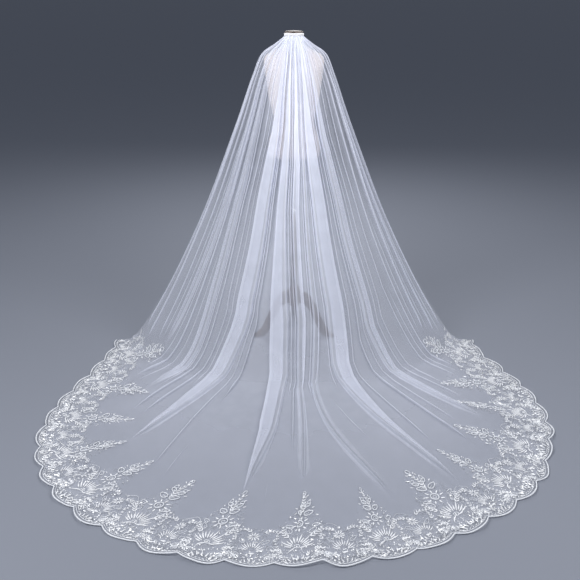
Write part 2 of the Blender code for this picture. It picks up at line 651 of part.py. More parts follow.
# ---------------------------------------------------------------- comb and heading
def arc_bar(name, radii, heights, half_angle, steps, finish, corner):
    """A bar of rounded oblong section, bent round the back of the neck."""
    inside, outside = radii
    low, high = heights
    section = ((inside + corner, low), (outside - corner, low), (outside, low + corner),
               (outside, high - corner), (outside - corner, high), (inside + corner, high),
               (inside, high - corner), (inside, low + corner))
    rings = []
    for i in range(steps + 1):
        angle = half_angle * (2.0 * i / steps - 1.0)
        rings.append([(r * sin(angle), -r * cos(angle), z) for r, z in section])
    return tube_object(name, np.array(rings), finish)


def make_comb(finish):
    """The comb: a curved spine with tapering teeth that point down, joined as one body."""
    spine = arc_bar("comb", COMB_SPINE_RADII, COMB_SPINE_HEIGHTS, COMB_HALF_ANGLE, COMB_STEPS,
                    finish, COMB_CORNER)
    inside, outside = TOOTH_RADII
    top = sum(COMB_SPINE_HEIGHTS) / 2.0
    ends = ((top, TOOTH_WIDTH / 2.0), (top - TOOTH_LENGTH, TOOTH_TAPER * TOOTH_WIDTH / 2.0))
    box_faces = ((0, 1, 2, 3), (7, 6, 5, 4), (0, 4, 5, 1), (1, 5, 6, 2), (2, 6, 7, 3), (3, 7, 4, 0))
    shape = bmesh.new()
    for i in range(COMB_TEETH):
        angle = COMB_HALF_ANGLE * TEETH_SPREAD * (2.0 * i / (COMB_TEETH - 1) - 1.0)
        turn = Matrix.Rotation(angle, 4, "Z")
        corners = []
        for height, half_width in ends:
            for radius, across in ((inside, -1), (inside, 1), (outside, 1), (outside, -1)):
                place = Vector((across * half_width, -radius, height))
                corners.append(shape.verts.new(turn @ place))
        for face in box_faces:
            shape.faces.new([corners[k] for k in face])
    bmesh.ops.recalc_face_normals(shape, faces=shape.faces)
    mesh = bpy.data.meshes.new("comb_teeth_guide")
    shape.to_mesh(mesh)
    shape.free()
    teeth = bpy.data.objects.new("comb_teeth_guide", mesh)
    bpy.context.collection.objects.link(teeth)
    teeth.hide_render = True
    teeth.display_type = "WIRE"
    union = spine.modifiers.new("teeth", "BOOLEAN")
    union.operation = "UNION"
    union.solver = "EXACT"
    union.object = teeth


# ---------------------------------------------------------------- dress form and stand
def make_form(finish):
    """The limbless torso, from smooth rings."""
    rings = []
    for ring in FORM_RINGS:
        points = []
        for k in range(FORM_SIDES):
            angle = tau * k / FORM_SIDES
            c, s = cos(angle), sin(angle)
            depth = ring.front if s > 0.0 else ring.back
            power = 2.0 / ring.squareness
            x = ring.half_width * abs(c) ** power * (1.0 if c >= 0.0 else -1.0)
            y = depth * abs(s) ** power * (1.0 if s >= 0.0 else -1.0)
            points.append((x, y, ring.height))
        rings.append(points)
    return tube_object("form_torso", np.array(rings), finish)


def turned(name, profile, finish, sides=ROUND_SIDES, smooth_angle=radians(35.0)):
    """A solid of revolution about +Z from (radius, height) points, bottom to top."""
    shape = bmesh.new()
    points = [shape.verts.new((r, 0.0, z)) for r, z in profile]
    closed = profile[0][0] > 0.0
    edges = [shape.edges.new(pair) for pair in zip(points, points[1:])]
    if closed:
        edges.append(shape.edges.new((points[-1], points[0])))
    bmesh.ops.spin(shape, geom=points + edges, axis=(0, 0, 1), cent=(0, 0, 0), steps=sides, angle=tau)
    bmesh.ops.remove_doubles(shape, verts=shape.verts, dist=1e-5)
    bmesh.ops.recalc_face_normals(shape, faces=shape.faces)
    mesh = bpy.data.meshes.new(name)
    shape.to_mesh(mesh)
    shape.free()
    mesh.shade_smooth()
    mesh.set_sharp_from_angle(angle=smooth_angle)
    mesh.materials.append(finish)
    made = bpy.data.objects.new(name, mesh)
    bpy.context.collection.objects.link(made)
    return made


def make_leg(name, angle_deg, finish):
    """One curved leg, cut from board, with its flat foot on the floor."""
    count = len(LEG_OUTLINE)
    half = LEG_THICKNESS / 2.0
    verts = [(r, -half, z) for r, z in LEG_OUTLINE] + [(r, half, z) for r, z in LEG_OUTLINE]
    faces = [tuple(range(count)), tuple(reversed(range(count, 2 * count)))]
    for k in range(count):
        m = (k + 1) % count
        faces.append((k, count + k, count + m, m))
    leg = mesh_object(name, verts, faces, finish, smooth_angle=radians(35.0))
    turn_outward(leg)
    leg.rotation_euler = (0.0, 0.0, radians(angle_deg))
    return leg


def make_stand(wood, metal):
    """Pole, rod, ferrule, clamp screw and three legs."""
    turned("stand_pole", POLE_PROFILE, wood)
    turned("stand_rod", ((0.0, ROD_HEIGHTS[0]), (ROD_RADIUS, ROD_HEIGHTS[0]),
                         (ROD_RADIUS, ROD_HEIGHTS[1]), (0.0, ROD_HEIGHTS[1])), metal)
    turned("stand_ferrule", FERRULE_PROFILE, metal)
    screw = turned("stand_clamp_screw", SCREW_PROFILE, metal, sides=SCREW_SIDES)
    screw.rotation_euler = (pi / 2.0, 0.0, 0.0)
    screw.location = (0.0, 0.0, SCREW_HEIGHT)
    for number, angle in enumerate(LEG_ANGLES, start=1):
        make_leg(f"stand_leg_{number}", angle, wood)


# ---------------------------------------------------------------- the whole object
def centre_on_plan():
    """Moves every object so that the middle of the plan is on the origin."""
    bpy.context.view_layer.update()
    corners = []
    for made in bpy.context.scene.objects:
        if made.type == "MESH" and not made.hide_render:
            corners += [made.matrix_world @ v.co for v in made.data.vertices]
    middle_x = (min(c.x for c in corners) + max(c.x for c in corners)) / 2.0
    middle_y = (min(c.y for c in corners) + max(c.y for c in corners)) / 2.0
    for made in bpy.context.scene.objects:
        made.location.x -= middle_x
        made.location.y -= middle_y


def main():
    """Clears the scene and makes every piece."""
    for old in list(bpy.data.objects):
        bpy.data.objects.remove(old, do_unlink=True)
    tulle = material("tulle", (0.86, 0.87, 0.93), 0.55, alpha=0.5)
    lace = material("lace", (0.88, 0.88, 0.92), 0.50)
    satin = material("satin_binding", (0.88, 0.88, 0.90), 0.40)
    comb = material("comb_metal", (0.80, 0.80, 0.82), 0.25, metallic=1.0)
    linen = material("form_cover", (0.78, 0.70, 0.63), 0.85)
    wood = material("dark_wood", (0.06, 0.035, 0.025), 0.40)
    metal = material("stand_metal", (0.62, 0.62, 0.64), 0.28, metallic=1.0)

    panel = make_veil(tulle)
    make_lace(panel, lace)
    make_cord(panel, lace)
    arc_bar("heading_band", HEADING_RADII, HEADING_HEIGHTS, HEADING_HALF_ANGLE, HEADING_STEPS,
            satin, HEADING_CORNER)
    make_comb(comb)
    make_form(linen)
    turned("form_neck_cap", CAP_PROFILE, wood, sides=CAP_SIDES)
    make_stand(wood, metal)
    centre_on_plan()


main()
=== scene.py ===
"""Looks of a cathedral-length bridal veil with a lace edge, on a dress form and its stand.

Metres, +Z up.  Everything is made round the axis of the stand's pole, with the train towards -Y,
and moved to the pole's place in the frame when its mesh is made.

A place on the veil has two co-ordinates.  Side runs from -1 at the left selvedge to 1 at the right
one.  Level counts the rows of the table of the hanging part from the comb to the floor, then the
four quarters of the train to the hem.  A place on the lace has its run along the hem and its
distance up from the scalloped edge, square to the hem.
"""
from collections import namedtuple
from math import cos, pi, radians, sin, tau

import bmesh
import bpy
import numpy as np
from mathutils import Matrix, Vector


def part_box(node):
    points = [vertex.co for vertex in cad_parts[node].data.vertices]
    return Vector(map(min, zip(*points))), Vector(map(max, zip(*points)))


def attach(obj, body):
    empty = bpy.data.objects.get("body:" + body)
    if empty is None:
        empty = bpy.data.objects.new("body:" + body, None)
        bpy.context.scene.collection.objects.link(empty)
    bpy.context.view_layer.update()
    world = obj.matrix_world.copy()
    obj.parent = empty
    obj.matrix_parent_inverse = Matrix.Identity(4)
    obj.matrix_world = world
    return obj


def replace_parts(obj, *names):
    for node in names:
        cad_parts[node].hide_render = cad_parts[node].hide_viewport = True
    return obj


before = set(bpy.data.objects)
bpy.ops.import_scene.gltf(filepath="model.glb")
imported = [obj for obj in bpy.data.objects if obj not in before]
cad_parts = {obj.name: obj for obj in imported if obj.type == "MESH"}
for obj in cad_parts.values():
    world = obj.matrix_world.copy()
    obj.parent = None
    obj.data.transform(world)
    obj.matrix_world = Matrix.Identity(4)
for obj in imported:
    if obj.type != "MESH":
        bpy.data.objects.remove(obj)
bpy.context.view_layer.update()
BODY = "root"
POLE_LOW, POLE_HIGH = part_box("stand_pole")
AXIS = np.array(((POLE_LOW[0] + POLE_HIGH[0]) / 2.0, (POLE_LOW[1] + POLE_HIGH[1]) / 2.0, 0.0))

# ---------- the veil's form
# One row for each level of the hanging part, an oval round which the two sides spread.
FALL_HEIGHTS, HALF_WIDTHS, BACK_DEPTHS, SPREADS_DEG = np.array((
    (1.696, 0.062, 0.062, 50.0),
    (1.655, 0.110, 0.080, 70.0),
    (1.600, 0.176, 0.112, 82.0),
    (1.480, 0.222, 0.160, 84.0),
    (1.300, 0.285, 0.212, 83.5),
    (1.100, 0.362, 0.270, 83.0),
    (0.850, 0.468, 0.350, 82.0),
    (0.600, 0.590, 0.440, 81.5),
    (0.380, 0.710, 0.530, 81.0),
    (0.200, 0.822, 0.615, 80.5),
    (0.080, 0.900, 0.700, 80.0),
    (0.015, 0.938, 0.790, 80.0),
)).T
# The train in plan, by the angle from straight behind.
PLAN_ANGLES_DEG, CONTACT_RADII, LEFT_HEM_RADII, RIGHT_HEM_RADII = np.array((
    (0.0, 0.900, 2.150, 2.150),
    (10.0, 0.900, 2.145, 2.130),
    (20.0, 0.903, 2.080, 2.050),
    (30.0, 0.910, 1.965, 1.955),
    (40.0, 0.920, 1.790, 1.790),
    (50.0, 0.930, 1.530, 1.590),
    (60.0, 0.940, 1.260, 1.330),
    (70.0, 0.950, 1.110, 1.125),
    (80.0, 0.955, 1.040, 1.045),
)).T
HEM_SPREAD = radians(80.0)
TRAIN_QUARTERS = 4
CONTACT_LEVEL = len(FALL_HEIGHTS)
HEM_LEVEL = CONTACT_LEVEL + TRAIN_QUARTERS
HEM_INSET = 0.03  # the tulle stops this far inside the mean hem
NORMAL_STEP = 1e-3
TULLE_LOWEST = 0.001  # least heights over the floor: tulle, lace ground and what is sewn on it
GROUND_LOWEST = 0.0003
TRIM_LOWEST = 0.0004
TULLE_CLEARANCE = 0.0006  # the tulle lies this far outside its form

# Soft waves of the whole cloth.  Turn and drift are radians for a unit of side and of level.
Wave = namedtuple("Wave", "height turn drift start")
HUNG_WAVES = (Wave(0.004, 11.0, 0.0, 0.6), Wave(0.003, 23.0, 0.25, 2.1), Wave(0.003, 37.0, 0.0, 4.0))
LAID_RIPPLE = Wave(0.0035, 29.0, 0.35, 0.8)
LAID_WAVE = Wave(0.003, 47.0, 0.0, 1.7)
HEM_WAVE = Wave(0.005, 38.0, 0.0, 0.4)
HEM_WAVE_POWER = 1.5
TRACE_HEIGHT = 0.005  # each pleat leaves a soft trace towards the hem
TRACE_WIDTH = 0.016
HUNG_IN = (1.5, 4.5)  # levels over which each of them comes in
LAID_IN = (10.5, 13.5)
HEM_WAVE_IN = (14.2, 16.0)
TRACE_IN = (13.0, 14.5)
BRIDGE_LIFT = 0.02  # the cloth cuts the corner where it meets the floor by this much
BRIDGE_LEVEL = 11.5
BRIDGE_REACH = 1.3

# ---------- folds
# Side values at the waist and on the floor, how much of the train it reaches over, its rise, how far
# it bends aside there, then its width at the waist, at the knee, at the floor and late on the train.
Pleat = namedtuple("Pleat", "waist floor reach rise sweep bands")
PLEATS = tuple(Pleat(*row) for row in (
    (-0.735, -0.745, 0.20, 0.012, 0.0, (0.016, 0.022, 0.012, 0.006)),
    (-0.587, -0.562, 0.42, 0.014, 0.030, (0.020, 0.026, 0.028, 0.012)),
    (-0.262, -0.374, 0.80, 0.018, 0.0, (0.052, 0.068, 0.055, 0.034)),
    (-0.108, -0.072, 0.74, 0.018, -0.016, (0.038, 0.082, 0.072, 0.064)),
    (0.055, 0.031, 0.66, 0.012, -0.012, (0.026, 0.026, 0.008, 0.004)),
    (0.119, 0.090, 0.80, 0.014, 0.075, (0.006, 0.014, 0.007, 0.003)),
    (0.218, 0.256, 0.84, 0.018, 0.032, (0.058, 0.080, 0.060, 0.026)),
    (0.420, 0.500, 0.62, 0.014, 0.0, (0.030, 0.036, 0.026, 0.016)),
))
# Side values at the waist and on the floor, first and last level, rise, and how far it bends aside
# if it does.  Those that start at 0 come from the gathering.
RIDGES = (
    (-0.955, -0.940, 0.0, 12.4, 0.014),
    (-0.900, -0.880, 0.0, 12.4, 0.018),
    (-0.835, -0.815, 0.0, 12.6, 0.014),
    (-0.790, -0.785, 4.0, 12.2, 0.007),
    (-0.690, -0.700, 3.0, 12.6, 0.008),
    (-0.660, -0.655, 0.0, 13.2, 0.020),
    (-0.625, -0.620, 6.5, 13.6, 0.007),
    (-0.545, -0.525, 2.0, 12.9, 0.009),
    (-0.510, -0.498, 0.0, 13.9, 0.016, 0.022),
    (-0.420, -0.450, 0.0, 14.2, 0.016, 0.014),
    (-0.365, -0.424, 2.5, 12.4, 0.007),
    (-0.230, -0.300, 3.0, 15.0, 0.009, 0.026),
    (-0.180, -0.262, 0.0, 12.6, 0.020),
    (-0.160, -0.248, 13.4, 15.4, 0.006, 0.010),
    (-0.130, -0.118, 13.8, 15.8, 0.006, -0.055),
    (-0.060, -0.022, 4.0, 12.2, 0.009),
    (-0.050, -0.048, 13.8, 15.4, 0.005),
    (-0.021, -0.003, 0.0, 13.8, 0.012),
    (0.078, 0.050, 13.7, 15.0, 0.006, 0.078),
    (0.085, 0.070, 5.0, 12.3, 0.008),
    (0.150, 0.144, 11.9, 13.7, 0.007, 0.080),
    (0.165, 0.164, 14.2, 15.6, 0.006, 0.052),
    (0.170, 0.188, 5.0, 11.8, 0.007),
    (0.290, 0.320, 2.5, 14.6, 0.012),
    (0.345, 0.394, 0.0, 14.8, 0.018),
    (0.390, 0.436, 4.0, 14.2, 0.010),
    (0.480, 0.545, 3.0, 14.0, 0.010),
    (0.525, 0.578, 0.0, 13.2, 0.010),
    (0.610, 0.660, 0.0, 13.6, 0.012),
    (0.650, 0.695, 7.5, 13.2, 0.008),
    (0.700, 0.725, 0.0, 13.0, 0.014),
    (0.740, 0.758, 6.0, 12.6, 0.007),
    (0.780, 0.790, 0.0, 12.6, 0.020),
    (0.830, 0.832, 4.0, 12.4, 0.008),
    (0.875, 0.870, 0.0, 12.5, 0.020),
    (0.912, 0.908, 3.0, 12.2, 0.008),
    (0.950, 0.940, 0.0, 12.4, 0.014),
)
# A fold's cross-section: how far its band is swung, and its share of the rise, column by column.
PLEAT_TURNS = (
    (-1.00, 0.00), (-1.00, 0.22), (-1.00, 0.72), (-0.97, 0.95), (-0.85, 1.00), (-0.40, 1.02),
    (0.10, 1.03), (0.60, 1.02), (0.90, 0.99), (1.00, 0.90), (1.00, 0.66), (0.88, 0.56),
    (0.40, 0.52), (-0.20, 0.49), (-0.75, 0.46), (-0.95, 0.38), (-1.00, 0.16), (-0.96, 0.00),
)
RIDGE_TURNS = tuple((0.0, share) for share in (0.0, 0.1, 0.45, 0.9, 1.0, 0.9, 0.45, 0.1, 0.0))
PLEAT_STEP = 0.42  # between the columns of a fold, in fold steps
RIDGE_STEP = 0.5
FOLD_STEP = 0.004  # a fold step in metres
STEP_SHARE = 0.0052  # and in side value, where that is less
NO_BANDS = (0.0, 0.0, 0.0, 0.0)
Fold = namedtuple("Fold", "waist floor start end rise sweep step bands turns",
                  defaults=(0.0, RIDGE_STEP, NO_BANDS, RIDGE_TURNS))
EVEN_LEVEL = 2.6  # columns are spread evenly at the comb, and are in their folds from here down
BODY_LEVEL = 2.0  # folds start to rise here, and have their whole rise at the waist
WAIST_LEVEL = 6.0  # they run to their places on the floor from here
KNEE_LEVEL = 9.0
DRIFTED_LEVEL = 10.0  # and lie there from here on
SWEEP_LEVEL = 12.2  # they bend aside from here to their ends
LATE_LEVEL = 13.5  # where a pleat has its late width
BAND_LEVELS = (0.0, EVEN_LEVEL, WAIST_LEVEL, KNEE_LEVEL, CONTACT_LEVEL, LATE_LEVEL, HEM_LEVEL)
EVEN_BAND = 0.15  # share of the waist's band at EVEN_LEVEL
HEM_BAND = 0.5  # share of the late band at the hem
BAND_TAPER = 1.8  # a band narrows over this many levels before its end
BAND_POWER = 0.8
OPENING = 1.2  # levels over which a ridge opens
FADING = 0.9  # levels over which a fold fades at its end
LEAST_SWEEP = 0.1  # levels over which it bends aside at the least
SPENT_SIZE = 0.2  # columns close up to this share where their fold isn't there
EDGE_FROM = 0.8  # swing or share from which a column is the turned edge of its fold
PLAIN_SPACING = 0.01  # side value between the columns of flat cloth, at the floor
ROWS_PER_LEVEL = ((0.0, 3.0, 12.0), (3.0, 8.0, 6.0), (8.0, 12.0, 7.0), (12.0, 16.0, 14.0))

GATHER_LEVELS = (0.0, 1.0, 2.0, 3.0, 4.5, 6.5)
GATHER_DEPTHS = (0.0018, 0.0045, 0.008, 0.01, 0.007, 0.0)
GATHER_COLUMNS = 9.0  # columns in one of the fine gathers below the comb
GATHER_SWING = 3.4  # how far its columns swing, in columns
GATHER_UNEVEN = (0.75, 1.25)
GATHER_STRENGTHS = (0.5, 1.3)
GATHER_COUNT = 200
GATHER_SEED = 11
GATHER_MARGIN = 0.02  # side value over which the swing dies out at the selvedges
GATHER_WAVE_LEVELS = (0.0, 0.6, 1.5, 2.6, 4.0, 6.0, 8.5, 16.0)
GATHER_WAVE_DEPTHS = (0.0016, 0.003, 0.0045, 0.005, 0.0038, 0.002, 0.0, 0.0)

# How much of the light the net takes, at the sides and in the middle, and how wide the middle is.
COVER_LEVELS = (0.0, 1.0, 2.5, 4.0, 6.0, 9.0, 10.5, 12.0, 13.5, 15.0, 16.0)
SIDE_COVER = (0.62, 0.42, 0.3, 0.27, 0.25, 0.24, 0.24, 0.3, 0.25, 0.16, 0.13)
MIDDLE_COVER = (0.92, 0.9, 0.84, 0.7, 0.45, 0.3, 0.27, 0.33, 0.26, 0.16, 0.13)
MIDDLE_WIDTH = (0.95, 0.62, 0.44, 0.38, 0.36, 0.4, 0.44, 0.5, 0.5, 0.5, 0.5)
MIDDLE_POWER = 3.5
STREAK_SHARE = 0.3  # how much streaks along the cloth change it, and where they die out
STREAKS_OUT = (2.0, 9.0)
STREAK_COLUMNS = 5  # columns whose random values a streak adds up, and what divides their sum
STREAK_DIVISOR = 2.2
STREAK_SEED = 5
EDGE_DENSITY_AND_HIGHLIGHT = 1.1  # how much the turned edges of folds add to it: denser net where it turns over, and partly a painted highlight along the fold
COVER_RANGE = (0.05, 0.95)
LACE_COVER = 0.12  # the lace ground's at its edge, and its loss between two shares of its width
LACE_COVER_LOSS = 0.1
LACE_COVER_OUT = (0.15, 1.0)

# ---------- lace
LACE_REPEATS = 15
SCALLOPS = 2 * LACE_REPEATS
SCALLOP_DEPTH = 0.03
SCALLOP_PHASE = 0.6
SCALLOP_POWER = 0.75
SCALLOP_MEAN = 0.55
SCALLOP_SOFT = 0.004  # rounds the joint between two scallops
SCALLOP_SPARE = 6  # scallops before the left selvedge, and after the right one
SCALLOP_REACHES = (0.72, 1.25)
SCALLOP_SKEWS = (-0.13, 0.13)
REACH_SEED = 3
SKEW_SEED = 4
LACE_BAND = 0.215
LACE_PEAK = 0.46
PEAK_SPAN = 0.3
PEAK_PHASE = 0.05
PEAK_POWER = 0.95
LEAN_FOOT = 0.12
# How wide the lace is at each peak, and how far its tip leans towards the right selvedge.
PEAK_WIDTHS, PEAK_LEANS = np.array((
    (0.365, 0.000), (0.400, 0.000), (0.420, 0.000), (0.400, 0.010), (0.450, 0.000),
    (0.460, 0.020), (0.460, 0.070), (0.460, 0.060), (0.455, 0.018), (0.460, 0.045),
    (0.480, 0.030), (0.460, 0.090), (0.440, 0.110), (0.410, 0.065), (0.390, 0.020),
)).T
PEAK_PLACES = np.arange(LACE_REPEATS) + PEAK_PHASE + 0.5
EDGE_FOLLOW = 0.12  # motifs nearer to the edge than this follow its scallops
LACE_CLEARANCE = 0.0006  # between the tulle and the lace ground
TRIM_CLEARANCE = 0.001  # between the tulle and the embroidery on that ground
LACE_OVERRUN = 0.2  # lace is laid out this far past the selvedges, then cut there
SELVEDGE = 0.998  # side value at which it is cut
GROUND_STEPS = 20  # steps of the lace ground along a scallop, and its rows
GROUND_ROWS = 13
LACE_SEED = 21

# ---------- lace motifs
LEAF_STATIONS = ((0.0, 0.14), (0.16, 0.72), (0.42, 1.0), (0.72, 0.74), (1.0, 0.06))
SMALL_STATIONS = ((0.0, 0.2), (0.45, 1.0), (1.0, 0.1))
LEAF_EDGE = 0.0002  # height of a leaf's sides, and of its middle where nothing else is said
LEAF_RISE = 0.0014
STEM_RISE = 0.0012
SMALL_RISE = 0.0009
GARLAND_RISE = 0.001
FAN_PETALS = ((0.38, 0.46), (0.30, 0.70))  # start and length, as shares of the fan's radius
FAN_UNEVEN = 0.16
FAN_PETAL_WIDTH = 0.078
FAN_RISE = 0.0019
FAN_CURL = -0.22
ARCH_SQUASH = 0.85
ARCH_RISE = 0.0018
DAISY_RISE = 0.0015
CORD = 0.001  # radius of the cord that draws rings and open leaves
THIN_CORD = 0.0008
HEXAGON = np.arange(6) * tau / 6
# The tree of one peak.  Each row starts with a place: towards the motif's own hand, and up.
# Rings: half length, half width, turn, radius of the cord, points.
PEAK_RINGS = (
    (0.000, 0.102, 0.0085, 0.0110, 0.00, 0.0016, 12),
    (0.004, 0.232, 0.0195, 0.0175, 0.15, 0.0026, 18),
    (0.004, 0.232, 0.0085, 0.0080, 0.15, 0.0013, 12),
    (-0.028, 0.368, 0.0095, 0.0085, 0.30, 0.0015, 12),
    (0.028, 0.362, 0.0085, 0.0100, 0.30, 0.0015, 12),
    (0.004, 0.428, 0.0140, 0.0085, 0.10, 0.0018, 12),
)
# Open leaves: angle, length, width as a share of it, radius of the cord.
PEAK_OPEN_LEAVES = (
    (0.044, 0.178, 0.55, 0.044, 0.45, 0.0016),
    (-0.046, 0.172, -0.75, 0.040, 0.45, 0.0016),
    (0.040, 0.212, 1.25, 0.036, 0.45, 0.0016),
    (-0.056, 0.212, -1.15, 0.034, 0.45, 0.0016),
    (-0.012, 0.288, -1.20, 0.044, 0.52, 0.0024),
    (0.002, 0.291, 1.05, 0.044, 0.52, 0.0024),
    (0.014, 0.330, 0.85, 0.032, 0.52, 0.0024),
    (-0.010, 0.338, -0.95, 0.030, 0.52, 0.0024),
)
# Leaves: angle, length, width, rise.
PEAK_LEAVES = (
    (0.000, 0.098, 0.0, 0.010, 0.0060, 0.0026),
    (0.004, 0.398, 0.1, 0.020, 0.0085, 0.0022),
    (0.030, 0.370, 0.9, 0.015, 0.0050, LEAF_RISE),
    (-0.024, 0.378, -0.9, 0.015, 0.0050, LEAF_RISE),
    (0.016, 0.405, 0.8, 0.015, 0.0050, LEAF_RISE),
    (-0.012, 0.408, -0.7, 0.015, 0.0050, LEAF_RISE),
    (0.046, 0.330, 1.1, 0.015, 0.0050, LEAF_RISE),
    (-0.044, 0.330, -1.1, 0.015, 0.0050, LEAF_RISE),
)
# Sprays: pairs of leaves, their length, where they start, how far they spread, and the stem.
PEAK_SPRAYS = (
    (4, 0.018, 0.15, 1.10, ((0.060, 0.066), (0.082, 0.086), (0.088, 0.116))),
    (4, 0.018, 0.15, 1.10, ((-0.060, 0.066), (-0.082, 0.086), (-0.088, 0.116))),
    (6, 0.026, 0.30, 0.85, ((0.000, 0.262), (0.004, 0.300), (-0.006, 0.350), (0.004, 0.400))),
    (5, 0.022, 0.15, 0.85, ((0.040, 0.150), (0.068, 0.176), (0.082, 0.212))),
    (5, 0.022, 0.15, 0.85, ((-0.042, 0.150), (-0.072, 0.170), (-0.092, 0.200))),
)
PEAK_TENDRIL = ((-0.092, 0.205), (-0.128, 0.228), (-0.176, 0.2))
GARLAND_LEAVES = 12

FILLING_LEAVES = 1700
FILLING_CURLS = 1300
SEQUINS = 1500
LONG_SEQUINS = 1150
BEADS = 1200
LOW_FROM = 0.018  # the crowd beside the edge starts this far up
LOW_TOP = 0.085  # and ends here, for the long sequins at the next
LONG_SEQUIN_TOP = 0.06
WIDE_FROM = 0.022  # the others start this far up, and end this far inside the inner outline
INNER_MARGIN = 0.008
EDGE_CORDS = ((0.0, 0.0029), (0.012, 0.0008))  # distance up and radius
EDGE_STEPS = 24  # steps of the edge cords along a scallop
EDGE_END = 0.004

# ---------- dress form, stand and heading
# The form's level sections, with how far they reach in front of the axis and behind it.
FORM_HEIGHTS, FORM_HALF_WIDTHS, FORM_FRONTS, FORM_BACKS, FORM_SQUARENESS = np.array((
    (1.0530, 0.1400, 0.096, 0.100, 2.3),
    (1.0800, 0.1450, 0.101, 0.107, 2.3),
    (1.1400, 0.1390, 0.100, 0.103, 2.3),
    (1.2000, 0.1190, 0.092, 0.088, 2.3),
    (1.2500, 0.1100, 0.088, 0.079, 2.3),
    (1.3100, 0.1220, 0.102, 0.084, 2.3),
    (1.3700, 0.1380, 0.126, 0.093, 2.3),
    (1.4300, 0.1460, 0.128, 0.099, 2.3),
    (1.5000, 0.1560, 0.106, 0.101, 2.3),
    (1.5500, 0.1630, 0.088, 0.095, 2.2),
    (1.5800, 0.1610, 0.078, 0.086, 2.1),
    (1.5980, 0.1480, 0.070, 0.077, 2.0),
    (1.6150, 0.1180, 0.063, 0.068, 2.0),
    (1.6320, 0.0830, 0.056, 0.059, 2.0),
    (1.6480, 0.0590, 0.051, 0.0525, 2.0),
    (1.6620, 0.0505, 0.050, 0.0502, 2.0),
    (1.7050, 0.0500, 0.050, 0.0500, 2.0),
)).T
FORM_FOOT = ((0.93, 1.05), (0.985, 1.0508))  # share of the lowest row, and height
FORM_SIDES = 160
FORM_ROWS = 96
SEAM_COLUMNS = (0, 27, 40, 53, 80, 105, 120, 135)
SEAM_DEPTHS = (0.0011, 0.0004)  # on the seam and one column beside it
SEAMS_OUT = (1.635, 1.655)
CAP_PROFILE = (
    (0.0, 1.7053), (0.049, 1.7053), (0.0502, 1.706), (0.051, 1.7075), (0.051, 1.715), (0.0502, 1.7172),
    (0.047, 1.7195), (0.039, 1.7213), (0.03, 1.7225), (0.015, 1.7233), (0.0, 1.7235),
)
ROD_PROFILE = (
    (0.0, 0.7203), (0.0105, 0.7203), (0.011, 0.721), (0.011, 1.049), (0.0105, 1.0497), (0.0, 1.0497),
)
POLE_PROFILE = (
    (0.0, 0.15), (0.024, 0.15), (0.0268, 0.1515), (0.029, 0.156), (0.03, 0.164), (0.03, 0.256),
    (0.0296, 0.262), (0.0275, 0.27), (0.024, 0.2735), (0.0215, 0.276), (0.0196, 0.282), (0.019, 0.29),
    (0.018, 0.67), (0.0188, 0.672), (0.02, 0.676), (0.0208, 0.68), (0.021, 0.684), (0.0208, 0.688),
    (0.02, 0.692), (0.0188, 0.696), (0.0185, 0.699), (0.0185, 0.7195), (0.018, 0.72), (0.0, 0.72),
)
FERRULE_PROFILE = (
    (0.0113, 0.7203), (0.019, 0.7203), (0.0195, 0.721), (0.0195, 0.7374), (0.0189, 0.7382), (0.0172, 0.741),
    (0.0113, 0.741), (0.0113, 0.7203),
)
SCREW_HEIGHT = 0.335
SCREW_PROFILE = (
    (0.0, 0.0193), (0.004, 0.0193), (0.004, 0.029), (0.0086, 0.0302), (0.0103, 0.0318), (0.011, 0.035),
    (0.0105, 0.0378), (0.009, 0.0398), (0.005, 0.0405), (0.0, 0.0405),
)
WELD = 1e-5
SHARP_DEG = 38.0
LEG_ANGLES = (90.0, 210.0, 330.0)
LEG_THICKNESS = 0.024
LEG_EDGE = 0.003
LEG_OUTLINE = (
    (0.0303, 0.254), (0.06, 0.25), (0.081, 0.241), (0.1, 0.228), (0.12, 0.2065), (0.14, 0.18),
    (0.158, 0.15), (0.175, 0.118), (0.19, 0.0895), (0.205, 0.064), (0.219, 0.0465), (0.235, 0.033),
    (0.26, 0.018), (0.267, 0.0125), (0.268, 0.008), (0.2678, 0.003), (0.266, 0.0), (0.218, 0.0),
    (0.201, 0.0068), (0.185, 0.018), (0.17, 0.0385), (0.156, 0.064), (0.141, 0.0925), (0.126, 0.118),
    (0.1115, 0.139), (0.096, 0.156), (0.08, 0.168), (0.064, 0.176), (0.0303, 0.178),
)
HEADING_RADII = (0.0552, 0.0668)
HEADING_HEIGHTS = (1.6963, 1.712)
HEADING_HALF_ANGLE = radians(53.0)
HEADING_STEPS = 420
HEADING_SIDES = 20
HEADING_SQUARENESS = 0.6
HEADING_GATHERS = 62
HEADING_UNEVEN = (0.7, 1.3)
HEADING_PUFF = 0.085
HEADING_SEED = 8
STITCHES = 15  # each is two loops of thread round the binding
STITCH_SPREAD = 0.86
STITCH_LEANS = ((-0.004, 0.0), (0.004, 0.01))  # of each loop, and its place beside the stitch
STITCH_MIDDLE = (0.0591, 1.7042)  # radius and height of a loop's middle, and its half sizes
STITCH_RADII = (0.0084, 0.0087)
STITCH_STEPS = 14
# Points of the thread's section: along the binding, and away from the loop's middle.
STITCH_SECTION = ((-0.00035, 0.0), (0.00035, 0.0), (0.0, 0.0007))

